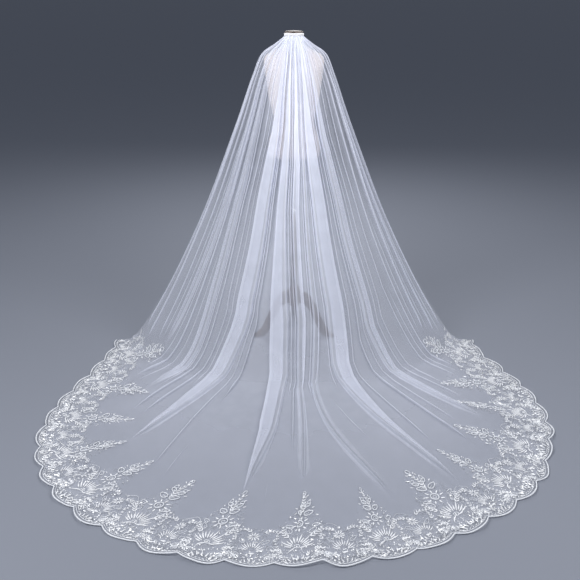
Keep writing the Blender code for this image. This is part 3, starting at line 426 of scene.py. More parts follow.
# ---------- looks, stage and camera
TULLE_WHITE = (0.8, 0.83, 0.95)
LACE_NET_WHITE = (0.86, 0.88, 0.94)
THREAD_WHITE = (0.86, 0.87, 0.9)
CORD_WHITE = (0.8, 0.82, 0.87)
# Painted shade: the white filling thread is coloured grey for the shadows among the lace's raised
# embroidery.
FILLING_PAINTED_SHADE_GREY = (0.44, 0.46, 0.52)
SEQUIN_WHITE = (0.97, 0.98, 1.0)
BEAD_WHITE = (0.94, 0.94, 0.96)
SEWING_WHITE = (0.85, 0.85, 0.87)
SATIN_WHITE = (0.84, 0.84, 0.87)
LINEN = (0.76, 0.67, 0.62)
LINEN_RANGE = ((0.66, 0.56, 0.51), (0.8, 0.71, 0.66))
WOOD = (0.05, 0.03, 0.02)
WOOD_RANGE = ((0.022, 0.012, 0.009), (0.085, 0.048, 0.032))
STEEL = (0.6, 0.6, 0.62)
COMB_METAL = (0.8, 0.8, 0.82)
FLOOR_PAINT = (0.205, 0.22, 0.262)
FLOOR_HALF = 200.0
SKY = (0.217, 0.238, 0.28)
SKY_LOW_SHARE = 0.3  # at the horizon, where it meets the far floor
# Lamps: name, place from the foot of the pole, width and power.
LAMPS = (
    ("key", (-2.4, -3.2, 3.9), 2.6, 180.0),
    ("fill", (2.8, -2.6, 3.4), 2.4, 105.0),
    ("back", (0.2, 3.2, 3.6), 2.2, 80.0),
)
LAMP_TARGET = (0.0, -0.5, 0.6)
SPOT_PLACE = (0.0, -3.0, 2.9)
SPOT_TARGET = (0.0, 0.0, 1.45)
SPOT_POWER = 130.0
SPOT_CONE = radians(34.0)
SPOT_SOFTNESS = 0.5
PICTURE = 580.0  # side of the picture, in pixels as the next two are
FOCAL_LENGTH = 806.45
CENTRE_SHIFT = -4.0
SENSOR = 36.0
CAMERA_PLACE = (0.0, -4.5, 1.95)
CAMERA_PITCH = 0.3618225
SEE_THROUGH_BOUNCES = 48  # the folds lay many sheets of net behind each other


# ---------- small tools
def glide(knots, values, x):
    """A smooth curve through values (last axis) at the knots, which never overshoots them."""
    knots, values, x = (np.asarray(table, float) for table in (knots, values, x))
    gap = np.diff(knots)
    slope = np.diff(values, axis=-1) / gap
    before, after = slope[..., :-1], slope[..., 1:]
    same_way = before * after > 0.0
    total = np.where(same_way, before + after, 1.0)
    inner = np.where(same_way, 2.0 * before * after / total, 0.0)
    tangent = np.concatenate([slope[..., :1], inner, slope[..., -1:]], axis=-1)
    cell = np.clip(np.searchsorted(knots, x, side="right") - 1, 0, len(gap) - 1)
    share = np.clip((x - knots[cell]) / gap[cell], 0.0, 1.0)

    def at(table, index):
        table = np.broadcast_to(table, x.shape + knots.shape)
        return np.take_along_axis(table, index[..., None], axis=-1)[..., 0]

    square, cube = share ** 2, share ** 3
    return ((2 * cube - 3 * square + 1) * at(values, cell)
            + (cube - 2 * square + share) * gap[cell] * at(tangent, cell)
            + (3 * square - 2 * cube) * at(values, cell + 1)
            + (cube - square) * gap[cell] * at(tangent, cell + 1))


def fade(x, low, high):
    """0 up to low, 1 from high on, and smooth between."""
    x = np.clip((x - low) / (high - low), 0.0, 1.0)
    return x * x * (3.0 - 2.0 * x)


def unit(vectors):
    """Vectors (last axis) at length 1."""
    length = np.linalg.norm(vectors, axis=-1, keepdims=True)
    return vectors / np.maximum(length, 1e-12)


def round_axis(radius, angle, height):
    """Points at a radius, an angle from straight behind and a height."""
    return np.stack(np.broadcast_arrays(radius * np.sin(angle), -radius * np.cos(angle), height), -1)


def linked(name, data):
    """A new object in the scene."""
    made = bpy.data.objects.new(name, data)
    bpy.context.collection.objects.link(made)
    return made


def piece(name, verts, faces, finish, smooth=True, sharp_deg=None):
    """A mesh object round the pole's axis, which rides on the frame's body."""
    mesh = bpy.data.meshes.new(name)
    mesh.from_pydata((np.asarray(verts, float) + AXIS).tolist(), [], faces)
    mesh.validate()
    if smooth:
        mesh.shade_smooth()
    if sharp_deg is not None:
        mesh.set_sharp_from_angle(angle=radians(sharp_deg))
    mesh.materials.append(finish)
    made = linked(name, mesh)
    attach(made, BODY)
    return made


def grid_faces(columns, rows, around=False, closed=False, flip=False):
    """Quads of a grid whose points are listed column by column.

    Around joins the last column to the first, and closed joins the last row to the first.
    """
    i, j = np.meshgrid(np.arange(columns if around else columns - 1),
                       np.arange(rows if closed else rows - 1), indexing="ij")
    first, beside, after = i * rows, (i + 1) % columns * rows, (j + 1) % rows
    corners = [first + j, first + after, beside + after, beside + j]
    if flip:
        corners = [corners[0], corners[3], corners[2], corners[1]]
    return np.stack(corners, -1).reshape(-1, 4).tolist()


def used_only(points, faces):
    """The faces with the points that they use, and which points these are."""
    used = np.zeros(len(points), bool)
    used[[k for face in faces for k in face]] = True
    number = (np.cumsum(used) - 1).tolist()
    return points[used], [[number[k] for k in face] for face in faces], used


def paint_cover(cloth, cover):
    """Stores how much light the net takes at each point."""
    attribute = cloth.data.attributes.new("net_cover", "FLOAT", "POINT")
    attribute.data.foreach_set("value", cover)


# ---------- the veil's smooth form
def plan_radii(side):
    """Radius of the floor contact and of the hem at each side value."""
    angle = np.abs(side) * np.degrees(HEM_SPREAD)
    contact, left, right = (glide(PLAN_ANGLES_DEG, radii, angle)
                            for radii in (CONTACT_RADII, LEFT_HEM_RADII, RIGHT_HEM_RADII))
    return contact, np.where(np.asarray(side) < 0.0, left, right)


def veil_point(side, level):
    """Points of the smooth form, without its folds."""
    side = np.asarray(side, float)
    angles = np.abs(side)[..., None] * np.radians(SPREADS_DEG)
    radii = 1.0 / np.hypot(np.sin(angles) / HALF_WIDTHS, np.cos(angles) / BACK_DEPTHS)
    contact, hem = plan_radii(side)
    quarters = np.arange(TRAIN_QUARTERS + 1) / TRAIN_QUARTERS
    run = contact[..., None] + (hem - HEM_INSET - contact)[..., None] * quarters
    floor_angles = np.broadcast_to((np.abs(side) * HEM_SPREAD)[..., None], run.shape)
    knots = np.arange(HEM_LEVEL + 1)
    radius = glide(knots, np.concatenate([radii, run], axis=-1), level)
    angle = glide(knots, np.concatenate([angles, floor_angles], axis=-1), level)
    height = glide(knots, np.append(FALL_HEIGHTS, 0.0 * quarters), level)
    return round_axis(radius, np.sign(side) * angle, height)


def veil_frame(side, level):
    """Outward normals of the smooth form, and its width for a whole unit of side."""
    low = np.clip(side - NORMAL_STEP, -1.0, 1.0)
    high = np.clip(side + NORMAL_STEP, -1.0, 1.0)
    across = veil_point(high, level) - veil_point(low, level)
    up = np.clip(level - NORMAL_STEP, 0.0, HEM_LEVEL)
    down = np.clip(level + NORMAL_STEP, 0.0, HEM_LEVEL)
    along = veil_point(side, down) - veil_point(side, up)
    return unit(np.cross(along, across)), np.linalg.norm(across, axis=-1) / (high - low)


def swell(side, level):
    """Height of the soft waves that the whole cloth makes, lace edge and all."""
    def sine(wave):
        return np.sin(wave.turn * side + wave.drift * level + wave.start)

    hung = sum(wave.height * sine(wave) for wave in HUNG_WAVES) * fade(level, *HUNG_IN)
    laid = LAID_RIPPLE.height * (0.5 + 0.5 * sine(LAID_RIPPLE))
    laid = laid + LAID_WAVE.height * np.maximum(0.0, sine(LAID_WAVE))
    hem_wave = HEM_WAVE.height * np.maximum(0.0, sine(HEM_WAVE)) ** HEM_WAVE_POWER
    laid = laid + hem_wave * fade(level, *HEM_WAVE_IN)
    for pleat in PLEATS:
        trace = TRACE_HEIGHT * np.exp(-((side - pleat.floor) / TRACE_WIDTH) ** 2)
        laid = laid + trace * fade(level, *TRACE_IN)
    bridge = BRIDGE_LIFT * np.exp(-((level - BRIDGE_LEVEL) / BRIDGE_REACH) ** 2)
    on_floor = fade(level, *LAID_IN)
    return hung * (1.0 - on_floor) + laid * on_floor + bridge


# ---------- places on the lace
def peak_top(place):
    """Width that a peak at this place would have."""
    return np.interp(place, PEAK_PLACES, PEAK_WIDTHS)


def lace_width(place):
    """Width of the lace at a place along the hem, counted in repeats."""
    off_peak = np.abs((place - PEAK_PHASE) % 1.0 - 0.5) / PEAK_SPAN
    peak = np.clip(1.0 - off_peak, 0.0, 1.0) ** PEAK_POWER
    return LACE_BAND + (peak_top(place) - LACE_BAND) * peak


def lace_lean(place, up):
    """Distance that the lace leans towards the right selvedge, this far up from its hem."""
    tip_lean = np.interp(place, PEAK_PLACES, PEAK_LEANS)
    return tip_lean * np.clip((up - LEAN_FOOT) / (LACE_PEAK - LEAN_FOOT), 0.0, 1.0)


class LaceMap:
    """Takes a place on the lace to a point on the veil and the cloth's normal there."""
    COLUMNS = 1000
    DEPTHS = np.concatenate([np.linspace(-0.1, 0.0, 8), np.linspace(0.0, 0.66, 170)[1:]])
    LEVELS = np.linspace(HEM_LEVEL, WAIST_LEVEL, 260)
    HEM_SIDES = np.linspace(-1.3, 1.3, 1561)

    def __init__(self):
        sides = np.linspace(-1.0, 1.0, self.COLUMNS)
        grid_side, grid_level = np.meshgrid(sides, self.LEVELS, indexing="ij")
        steps = np.linalg.norm(np.diff(veil_point(grid_side, grid_level), axis=1), axis=2)
        climbed = np.concatenate([np.zeros((len(sides), 1)), np.cumsum(steps, axis=1)], axis=1)
        inside = np.maximum(self.DEPTHS, 0.0)
        self.level = np.array([np.interp(inside, row, self.LEVELS) for row in climbed])
        full_side = np.broadcast_to(sides[:, None], self.level.shape)
        self.normal, _ = veil_frame(full_side, self.level)
        point = veil_point(full_side, self.level)
        beyond = np.maximum(-self.DEPTHS, 0.0)[None, :, None]
        point = point + unit(point * (1.0, 1.0, 0.0)) * beyond
        self.point = point + self.normal * swell(full_side, self.level)[..., None]

        hem = veil_point(self.HEM_SIDES, np.full(self.HEM_SIDES.shape, float(HEM_LEVEL)))
        run = np.concatenate([[0.0], np.cumsum(np.linalg.norm(np.diff(hem, axis=0), axis=1))])
        self.run = run - np.interp(-1.0, self.HEM_SIDES, run)
        self.length = float(np.interp(1.0, self.HEM_SIDES, self.run))
        self.hem = hem + unit(hem) * HEM_INSET
        along = unit(np.gradient(hem, axis=0))
        self.inward = np.stack([-along[:, 1], along[:, 0], along[:, 2]], -1)

    def locate(self, run, up):
        """Side values, and depths inside the tulle's hem, of places on the lace."""
        inward_x, inward_y = (np.interp(run, self.run, self.inward[:, k]) for k in (0, 1))
        lean = lace_lean(run / self.length * LACE_REPEATS, up)
        x = np.interp(run, self.run, self.hem[:, 0]) + up * inward_x + lean * inward_y
        y = np.interp(run, self.run, self.hem[:, 1]) + up * inward_y - lean * inward_x
        side = np.arctan2(x, -y) / HEM_SPREAD
        _, hem = plan_radii(np.clip(side, -1.0, 1.0))
        return side, hem - HEM_INSET - np.hypot(x, y)

    def read(self, table, side, depth):
        """Values of a table between its sides and depths."""
        i = (np.clip(side, -1.0, 1.0) + 1.0) / 2.0 * (self.COLUMNS - 1)
        j = np.interp(depth, self.DEPTHS, np.arange(len(self.DEPTHS)))
        i0 = np.minimum(i.astype(int), self.COLUMNS - 2)
        j0 = np.minimum(j.astype(int), len(self.DEPTHS) - 2)
        u, v = (i - i0)[:, None], (j - j0)[:, None]
        near = table[i0, j0] * (1 - v) + table[i0, j0 + 1] * v
        far = table[i0 + 1, j0] * (1 - v) + table[i0 + 1, j0 + 1] * v
        return near * (1 - u) + far * u

    def place(self, run, up, height):
        """Points at places on the lace and a height over the cloth, and their side values."""
        follow = np.clip(1.0 - up / EDGE_FOLLOW, 0.0, 1.0)
        side, depth = self.locate(run, up + edge_height(run) * follow)
        points = self.read(self.point, side, depth)
        normals = unit(self.read(self.normal, side, depth))
        return points + normals * np.asarray(height)[:, None], side


LACE = LaceMap()
HEM_LENGTH = LACE.length
REPEAT = HEM_LENGTH / LACE_REPEATS
SCALLOP_NUMBERS = SCALLOPS + 2 * SCALLOP_SPARE
SCALLOP_REACH = np.random.default_rng(REACH_SEED).uniform(*SCALLOP_REACHES, SCALLOP_NUMBERS)
SCALLOP_SKEW = np.random.default_rng(SKEW_SEED).uniform(*SCALLOP_SKEWS, SCALLOP_NUMBERS)


def edge_height(run):
    """Distance up from the mean hem to the scalloped line: negative where it bulges out."""
    place = run / HEM_LENGTH * SCALLOPS - SCALLOP_PHASE
    number = np.clip(np.floor(place).astype(int) + SCALLOP_SPARE, 0, SCALLOP_NUMBERS - 1)
    share = place - np.floor(place)
    share = share + SCALLOP_SKEW[number] * np.sin(pi * share) ** 2
    wave = (np.sin(pi * share) ** 2 + SCALLOP_SOFT) ** (SCALLOP_POWER / 2.0)
    return -SCALLOP_DEPTH * (SCALLOP_REACH[number] * wave - SCALLOP_MEAN)


def lace_top_level(side):
    """Level of the lace's inner outline at each side value."""
    run = np.linspace(0.0, HEM_LENGTH, 60 * LACE_REPEATS)
    top_side, depth = LACE.locate(run, lace_width(run / REPEAT))
    depths = np.interp(side, np.maximum.accumulate(top_side), depth)
    return LACE.read(LACE.level[..., None], np.asarray(side, float), depths)[:, 0]


# ---------- tulle
def veil_rows():
    """Levels of the sheet's rows."""
    rows = [0.0]
    for low, high, per_level in ROWS_PER_LEVEL:
        count = int(round((high - low) * per_level))
        rows += list(low + (high - low) * (k + 1) / count for k in range(count))
    return np.array(rows)


def fold_list():
    """Every fold from left to right.  Pleats lean away from the middle."""
    lean_left = tuple((-swing, share) for swing, share in reversed(PLEAT_TURNS))
    folds = []
    for pleat in PLEATS:
        end = CONTACT_LEVEL + pleat.reach * TRAIN_QUARTERS
        turns = PLEAT_TURNS if pleat.waist > 0.0 else lean_left
        folds.append(Fold(pleat.waist, pleat.floor, 0.0, end, pleat.rise, pleat.sweep, PLEAT_STEP,
                          pleat.bands, turns))
    folds += [Fold(*ridge) for ridge in RIDGES]
    return sorted(folds, key=lambda fold: fold.floor)


def spread_out(centres, reach):
    """Moves the folds' centres (first axis) apart where they would overlap."""
    forward, backward = centres.copy(), centres.copy()
    for i in range(1, len(centres)):
        forward[i] = np.maximum(forward[i], forward[i - 1] + reach[i - 1] + reach[i])
        k = len(centres) - 1 - i
        backward[k] = np.minimum(backward[k], backward[k + 1] - reach[k] - reach[k + 1])
    return (forward + backward) / 2.0


def veil_columns(rows):
    """Side, lift and turned edge of every column (first axis) of the sheet at every row.  The turned edge
    later raises the net's cover, partly as a painted highlight.

    The last value returned is whether the column is one of the flat cloth between the folds.
    """
    folds = fold_list()
    level = np.broadcast_to(rows, (len(folds), len(rows)))
    numbers = np.array([fold[:7] for fold in folds])
    waist, floor, start, full_end, rise, sweep, step = numbers.T[..., None]
    bend_from = np.maximum(start, SWEEP_LEVEL)
    bent = fade(level, bend_from, np.maximum(full_end, bend_from + LEAST_SWEEP))
    drift = fade(level, WAIST_LEVEL, DRIFTED_LEVEL)
    centre = waist + (floor - waist) * drift + sweep * bent

    end = np.minimum(full_end, lace_top_level((floor + sweep)[:, 0])[:, None])
    opens = np.where(start > 0.0, fade(level, start, start + OPENING), 1.0)
    alive = (1.0 - fade(level, end - FADING, end)) * opens
    _, width = veil_frame(centre, level)
    size = np.minimum(FOLD_STEP, STEP_SHARE * width) * (SPENT_SIZE + (1.0 - SPENT_SIZE) * alive)

    at_waist, at_knee, at_floor, late = np.array([fold.bands for fold in folds]).T[..., None]
    bands = np.stack([0.0 * at_waist, EVEN_BAND * at_waist, at_waist, at_knee, at_floor, late,
                      HEM_BAND * late], -1)
    taper = np.clip((end - level) / BAND_TAPER, 0.0, 1.0) ** BAND_POWER
    band = glide(BAND_LEVELS, bands, level) * taper
    counts = np.array([len(fold.turns) for fold in folds])[:, None]
    centre = spread_out(centre, (0.5 * band + 0.5 * (counts + 1) * step * size) / width)

    gather = glide(GATHER_LEVELS, GATHER_DEPTHS, level) * (start == 0.0)
    full_lift = (gather + rise * fade(level, BODY_LEVEL, WAIST_LEVEL)) * alive

    nothing = np.zeros(len(rows))
    selvedge = np.ones(len(rows))
    columns = [(-selvedge, nothing, nothing, True)]

    def plain_run(finish):
        """Flat columns from the last one up to a place."""
        begin = columns[-1][0]
        gap = finish - begin
        count = max(1, int(np.median(gap[rows > CONTACT_LEVEL]) / PLAIN_SPACING))
        for k in range(count):
            columns.append((begin + gap * (k + 1) / (count + 1), nothing, nothing, True))

    for i, fold in enumerate(folds):
        made = []
        for k, (swing, share) in enumerate(fold.turns):
            off_middle = k - (len(fold.turns) - 1) / 2.0
            offset = off_middle * fold.step * size[i] + 0.5 * swing * band[i]
            turned = share if fold.bands == NO_BANDS else abs(swing)
            # The turned edge later raises the net's cover: denser net where it turns over, and partly a
            # painted highlight.
            edge = max(turned - EDGE_FROM, 0.0) / (1.0 - EDGE_FROM)
            made.append((centre[i] + offset / width[i], share * full_lift[i], edge * alive[i], False))
        plain_run(made[0][0])
        columns += made
    plain_run(selvedge)
    columns.append((selvedge, nothing, nothing, True))
    side, lift, edge_density_and_highlight, loose = (np.array(values) for values in zip(*columns))
    return side, lift, edge_density_and_highlight, loose[:, None]


def veil_grid():
    """Side, level, lift and turned edges over the whole sheet, the edges partly a painted highlight in the
    net's cover.
    """
    rows = veil_rows()
    side, lift, edge_density_and_highlight, loose = veil_columns(rows)
    level = np.broadcast_to(rows, side.shape)
    even = np.linspace(-1.0, 1.0, len(side))[:, None]
    spacing = 2.0 / (len(side) - 1)
    rng = np.random.default_rng(GATHER_SEED)
    gather = np.cumsum(rng.uniform(*GATHER_UNEVEN, len(side)))[:, None] / GATHER_COLUMNS
    strength = rng.uniform(*GATHER_STRENGTHS, GATHER_COUNT)[gather.astype(int) % GATHER_COUNT]
    inside = np.clip((1.0 - np.abs(even)) / GATHER_MARGIN, 0.0, 1.0)
    swung = even + GATHER_SWING * spacing * np.sin(tau * gather) * inside
    closed_up = 1.0 - fade(level, 0.0, EVEN_LEVEL)
    side = np.clip(swung * closed_up + side * (1.0 - closed_up), -1.0, 1.0)
    depth = glide(GATHER_WAVE_LEVELS, GATHER_WAVE_DEPTHS, level)
    wave = depth * (0.5 + 0.5 * np.cos(tau * gather)) * strength
    lift = lift + wave * np.where(loose, 1.0, closed_up)
    return side, level, lift, edge_density_and_highlight * (1.0 - closed_up)


def make_tulle(finish):
    """The whole veil as one sheet of net."""
    side, level, lift, edge_density_and_highlight = veil_grid()
    normal, _ = veil_frame(side, level)
    height = lift + swell(side, level) + TULLE_CLEARANCE
    points = veil_point(side, level) + normal * height[..., None]
    points[..., 2] = np.maximum(points[..., 2], TULLE_LOWEST)
    veil = piece("tulle_veil", points.reshape(-1, 3), grid_faces(*side.shape), finish)

    random = np.random.default_rng(STREAK_SEED).uniform(-1.0, 1.0, len(side) + STREAK_COLUMNS - 1)
    streaks = np.convolve(random, np.ones(STREAK_COLUMNS) / STREAK_DIVISOR, "valid")[:, None]
    at_sides, in_middle, reach = (glide(COVER_LEVELS, table, level)
                                  for table in (SIDE_COVER, MIDDLE_COVER, MIDDLE_WIDTH))
    cover = at_sides + (in_middle - at_sides) * np.exp(-np.abs(side / reach) ** MIDDLE_POWER)
    streaks = STREAK_SHARE * streaks * (1.0 - fade(level, *STREAKS_OUT))
    # The turned edges of folds raise the cover: denser net where it turns over, and partly a painted
    # highlight along each fold edge.
    cover = cover * (1.0 + streaks + EDGE_DENSITY_AND_HIGHLIGHT * edge_density_and_highlight)
    paint_cover(veil, np.clip(cover, *COVER_RANGE).ravel())
    return veil


# ---------- what the lace is sewn from
class Trim:
    """What is sewn on the lace, gathered as places on it, then made as one mesh."""

    def __init__(self):
        self.points, self.faces, self.count = [], [], 0

    def add(self, along, up, height, faces):
        """One small form."""
        along, up, height = np.broadcast_arrays(along, up, height)
        self.points.append(np.stack([along, up, height], -1).reshape(-1, 3))
        self.faces += [[k + self.count for k in face] for face in faces]
        self.count += along.size

    def made(self, name, finish, smooth=True):
        """The mesh of all the forms that lie between the selvedges, laid on the veil."""
        along, up, height = np.concatenate(self.points).T
        points, side = LACE.place(along, up, height + TRIM_CLEARANCE)
        points[:, 2] = np.maximum(points[:, 2], TRIM_LOWEST)
        inside = (np.abs(side) <= SELVEDGE).tolist()
        faces = [face for face in self.faces if all(inside[k] for k in face)]
        points, faces, _ = used_only(points, faces)
        return piece(name, points, faces, finish, smooth)


def going(x, y, angle, forward, aside=0.0):
    """Places reached by going forward, at an angle from straight up, and aside."""
    return (x + forward * np.sin(angle) + aside * np.cos(angle),
            y + forward * np.cos(angle) - aside * np.sin(angle))


def leaf(trim, x, y, angle, length, width, rise=LEAF_RISE, bend=0.0, stations=LEAF_STATIONS):
    """A padded satin-stitch leaf or petal from (x, y), pointing at angle from straight up."""
    share, wide = np.array(stations).T[..., None]
    aside = wide * width / 2.0 * (-1.0, 0.0, 1.0)
    along, up = going(x, y, angle + bend * share, share * length, aside)
    trim.add(along, up, (LEAF_EDGE, rise, LEAF_EDGE), grid_faces(len(stations), 3))


def tube(trim, line, radius, closed=False, sides=4):
    """A cord laid along a line of places."""
    line = np.asarray(line, float)
    if closed:
        heading = np.roll(line, -1, axis=0) - np.roll(line, 1, axis=0)
    else:
        heading = np.gradient(line, axis=0)
    heading = unit(heading)
    turn = tau * (np.arange(sides) + 0.5) / sides
    aside = radius * np.cos(turn)
    along = line[:, :1] + heading[:, 1:] * aside
    up = line[:, 1:] - heading[:, :1] * aside
    trim.add(along, up, radius * (0.75 + np.sin(turn)),
             grid_faces(len(line), sides, around=closed, closed=True, flip=True))


def curve(points, count):
    """A smooth line through a few places."""
    points = np.asarray(points, float)
    knots = np.concatenate([[0.0], np.cumsum(np.linalg.norm(np.diff(points, axis=0), axis=1))])
    at = np.linspace(0.0, knots[-1], count)
    return np.stack([glide(knots, points[:, 0], at), glide(knots, points[:, 1], at)], -1)


def ring(trim, x, y, half_length, half_width, angle, radius=CORD, count=14):
    """A corded oval."""
    turn = np.arange(count) * tau / count
    line = going(x, y, angle, half_length * np.cos(turn), half_width * np.sin(turn))
    tube(trim, np.stack(line, -1), radius, closed=True)


def open_leaf(trim, x, y, angle, length, width, radius=CORD, count=14):
    """A leaf drawn by its corded outline only, with a short vein."""
    turn = np.arange(count) * tau / count
    aside = width / 2.0 * np.sin(turn) * (1.15 + 0.35 * np.cos(turn))
    line = going(x, y, angle, length * (0.5 - 0.5 * np.cos(turn)), aside)
    tube(trim, np.stack(line, -1), radius, closed=True)
    tube(trim, curve([(x, y), going(x, y, angle, 0.55 * length)], 3), radius * 0.6, sides=3)


def fan(trim, x, y, radius, petals, spread):
    """A daisy seen half open: petals of two lengths that spread from its foot and curl up."""
    for k in range(petals):
        share = k / (petals - 1) * 2.0 - 1.0
        angle = share * spread
        start, length = FAN_PETALS[k % 2]
        length = length * (1.0 + FAN_UNEVEN * sin(2.4 * k + 60.0 * radius))
        leaf(trim, *going(x, y, angle, start * radius), angle, length * radius,
             FAN_PETAL_WIDTH * radius, FAN_RISE, bend=FAN_CURL * share)


def petal_arch(trim, x, y, radius, petals, spread, length, width):
    """Short thick petals that stand on an arch."""
    for k in range(petals):
        angle = (k / (petals - 1) * 2.0 - 1.0) * spread
        leaf(trim, x + radius * sin(angle), y + ARCH_SQUASH * radius * cos(angle), angle, length,
             width, ARCH_RISE)


def daisy(trim, x, y, radius, petals, turn=0.0, inner=0.3, wide=0.24):
    """A whole flower of narrow petals."""
    for k in range(petals):
        angle = turn + tau * k / petals
        leaf(trim, *going(x, y, angle, radius * inner), angle, radius * (1.0 - inner),
             radius * wide, DAISY_RISE)


def spray(thread, cords, points, leaves, length, first=0.15, spread=0.85):
    """A curved stem with leaves in pairs that get smaller towards its tip."""
    line = curve(points, 4 + 3 * len(points))
    tube(cords, line, THIN_CORD, sides=3)
    for k in range(leaves):
        share = first + (1.0 - first) * k / max(leaves - 1, 1)
        at = share * (len(line) - 1)
        i = min(int(at), len(line) - 2)
        x, y = line[i] + (line[i + 1] - line[i]) * (at - i)
        heading = np.arctan2(*(line[i + 1] - line[i]))
        size = length * (1.0 - 0.45 * share)
        for hand in (-1, 1):
            leaf(thread, x, y, heading + hand * spread, size, size * 0.3, STEM_RISE,
                 bend=-0.3 * hand)
    heading = np.arctan2(*(line[-1] - line[-2]))
    leaf(thread, *line[-1], heading, length * 0.55, length * 0.18, STEM_RISE)


def scroll(cords, x, y, size, hand, turns=0.9, radius=0.0009):
    """A cord that curls into itself."""
    t = np.linspace(0.0, tau * turns, 12)
    reach = size * (1.0 - 0.7 * t / t[-1])
    tube(cords, np.stack([x + hand * reach * np.cos(t), y + reach * np.sin(t)], -1), radius, sides=3)


# ---------- lace motifs
def peak_motif(thread, cords, x, scale, hand):
    """The tree of one peak: petal arch, fan flower, ring flower, open leaves and a leafy tip."""
    def at(dx, y):
        return x + hand * dx, y * scale

    petal_arch(thread, *at(0.0, -0.002), 0.04, 9, 1.5, 0.023, 0.0056)
    fan(thread, *at(0.0, 0.098), 0.074, 13, 1.5)
    daisy(thread, *at(0.004, 0.232), 0.046, 9, turn=0.2, inner=0.58, wide=0.15)
    for way in (-1, 1):
        leaf(thread, *at(0.006 * way, 0.096), hand * way * 1.75, 0.044, 0.0056, bend=-0.5)
        scroll(cords, *at(0.062 * way, 0.036), 0.017, -way * hand)
    for dx, y, half_length, half_width, turn, radius, count in PEAK_RINGS:
        ring(cords, *at(dx, y), half_length, half_width, hand * turn, radius, count)
    for dx, y, angle, length, wide, radius in PEAK_OPEN_LEAVES:
        open_leaf(cords, *at(dx, y), hand * angle, length, length * wide, radius)
    for dx, y, angle, length, width, rise in PEAK_LEAVES:
        leaf(thread, *at(dx, y), hand * angle, length, width, rise)
    for leaves, length, first, spread, stem in PEAK_SPRAYS:
        spray(thread, cords, [at(*place) for place in stem], leaves, length, first, spread)
    tube(cords, curve([at(*place) for place in PEAK_TENDRIL], 9), CORD, sides=3)


def valley_motif(thread, cords, x, hand):
    """The lower lace between two peaks: small fan, daisies, scrolls and a leafy arch above."""
    fan(thread, x, 0.08, 0.054, 11, 1.45)
    leaf(thread, x - 0.01, 0.066, 1.57, 0.022, 0.008, 0.0022)
    petal_arch(thread, x, -0.004, 0.03, 7, 1.4, 0.017, 0.0048)
    daisy(thread, x + hand * 0.01, 0.158, 0.026, 10, wide=0.2)
    ring(cords, x + hand * 0.01, 0.158, 0.0065, 0.0065, 0.0, count=10)
    for way in (-1, 1):
        def at(dx, y):
            return x + way * dx, y

        open_leaf(cords, *at(0.034, 0.118), way * 0.9, 0.034, 0.014)
        open_leaf(cords, *at(0.046, 0.05), way * 1.3, 0.03, 0.012)
        scroll(cords, *at(0.066, 0.088), 0.018, way)
        spray(thread, cords, [at(0.02, 0.18), at(0.05, 0.196), at(0.086, 0.19)], 5, 0.018)
        spray(thread, cords, [at(0.07, 0.128), at(0.086, 0.15), at(0.084, 0.176)], 4, 0.016)


def edge_motif(thread, cords, x):
    """Along one scallop: a garland of small leaves, and a daisy beside each of its joints."""
    half = REPEAT / 4.0
    for k in range(GARLAND_LEAVES):
        share = (k + 0.5) / GARLAND_LEAVES * 2.0 - 1.0
        for hand, y in ((-1, 0.012), (1, 0.018)):
            leaf(thread, x + share * half * 0.95, y, share * 0.5 + hand * 1.3, 0.009, 0.0032,
                 GARLAND_RISE, stations=SMALL_STATIONS)
    for hand in (-1, 1):
        joint = x + hand * half
        daisy(thread, joint - hand * half * 0.14, 0.046, 0.019, 8, turn=0.3)
        ring(cords, joint - hand * half * 0.14, 0.046, 0.0045, 0.0045, 0.0, THIN_CORD, 8)
        open_leaf(cords, joint - hand * half * 0.4, 0.03, hand * 0.9, 0.026, 0.01)
        for y, angle in ((0.072, 0.5), (0.074, -0.7)):
            leaf(thread, joint - hand * half * 0.08, y, hand * angle, 0.02, 0.0062)


def make_lace_motifs(thread, cords):
    """All the repeats of the lace."""
    for k in range(-1, LACE_REPEATS + 2):
        x = (k + PEAK_PHASE + 0.5) * REPEAT
        hand = 1 if x < HEM_LENGTH / 2.0 else -1
        peak_motif(thread, cords, x, peak_top(x / REPEAT) / LACE_PEAK, hand)
        valley_motif(thread, cords, x - REPEAT / 2.0, hand)
        edge_motif(thread, cords, x)
        edge_motif(thread, cords, x - REPEAT / 2.0)


def scattered(rng, count, low_share, low_top=LOW_TOP):
    """Random places on the lace, a share of them crowded beside its edge."""
    places = []
    for _ in range(count):
        x = rng.uniform(-LACE_OVERRUN, HEM_LENGTH + LACE_OVERRUN)
        low = rng.random() < low_share
        bounds = (LOW_FROM, low_top) if low else (WIDE_FROM, lace_width(x / REPEAT) - INNER_MARGIN)
        places.append((x, rng.uniform(*bounds)))
    return places


def make_filling(trim, rng):
    """The small leaves and curled threads that fill the net between the motifs."""
    for x, y in scattered(rng, FILLING_LEAVES, 0.18):
        leaf(trim, x, y, rng.uniform(-pi, pi), rng.uniform(0.006, 0.013), 0.0026, SMALL_RISE,
             stations=SMALL_STATIONS)
    for x, y in scattered(rng, FILLING_CURLS, 0.12):
        size = rng.uniform(0.005, 0.011)
        t = np.linspace(0.0, rng.uniform(2.2, 5.0), 7) + rng.uniform(0.0, tau)
        tube(trim, np.stack([x + size * np.cos(t), y + size * np.sin(t)], -1), THIN_CORD, sides=3)


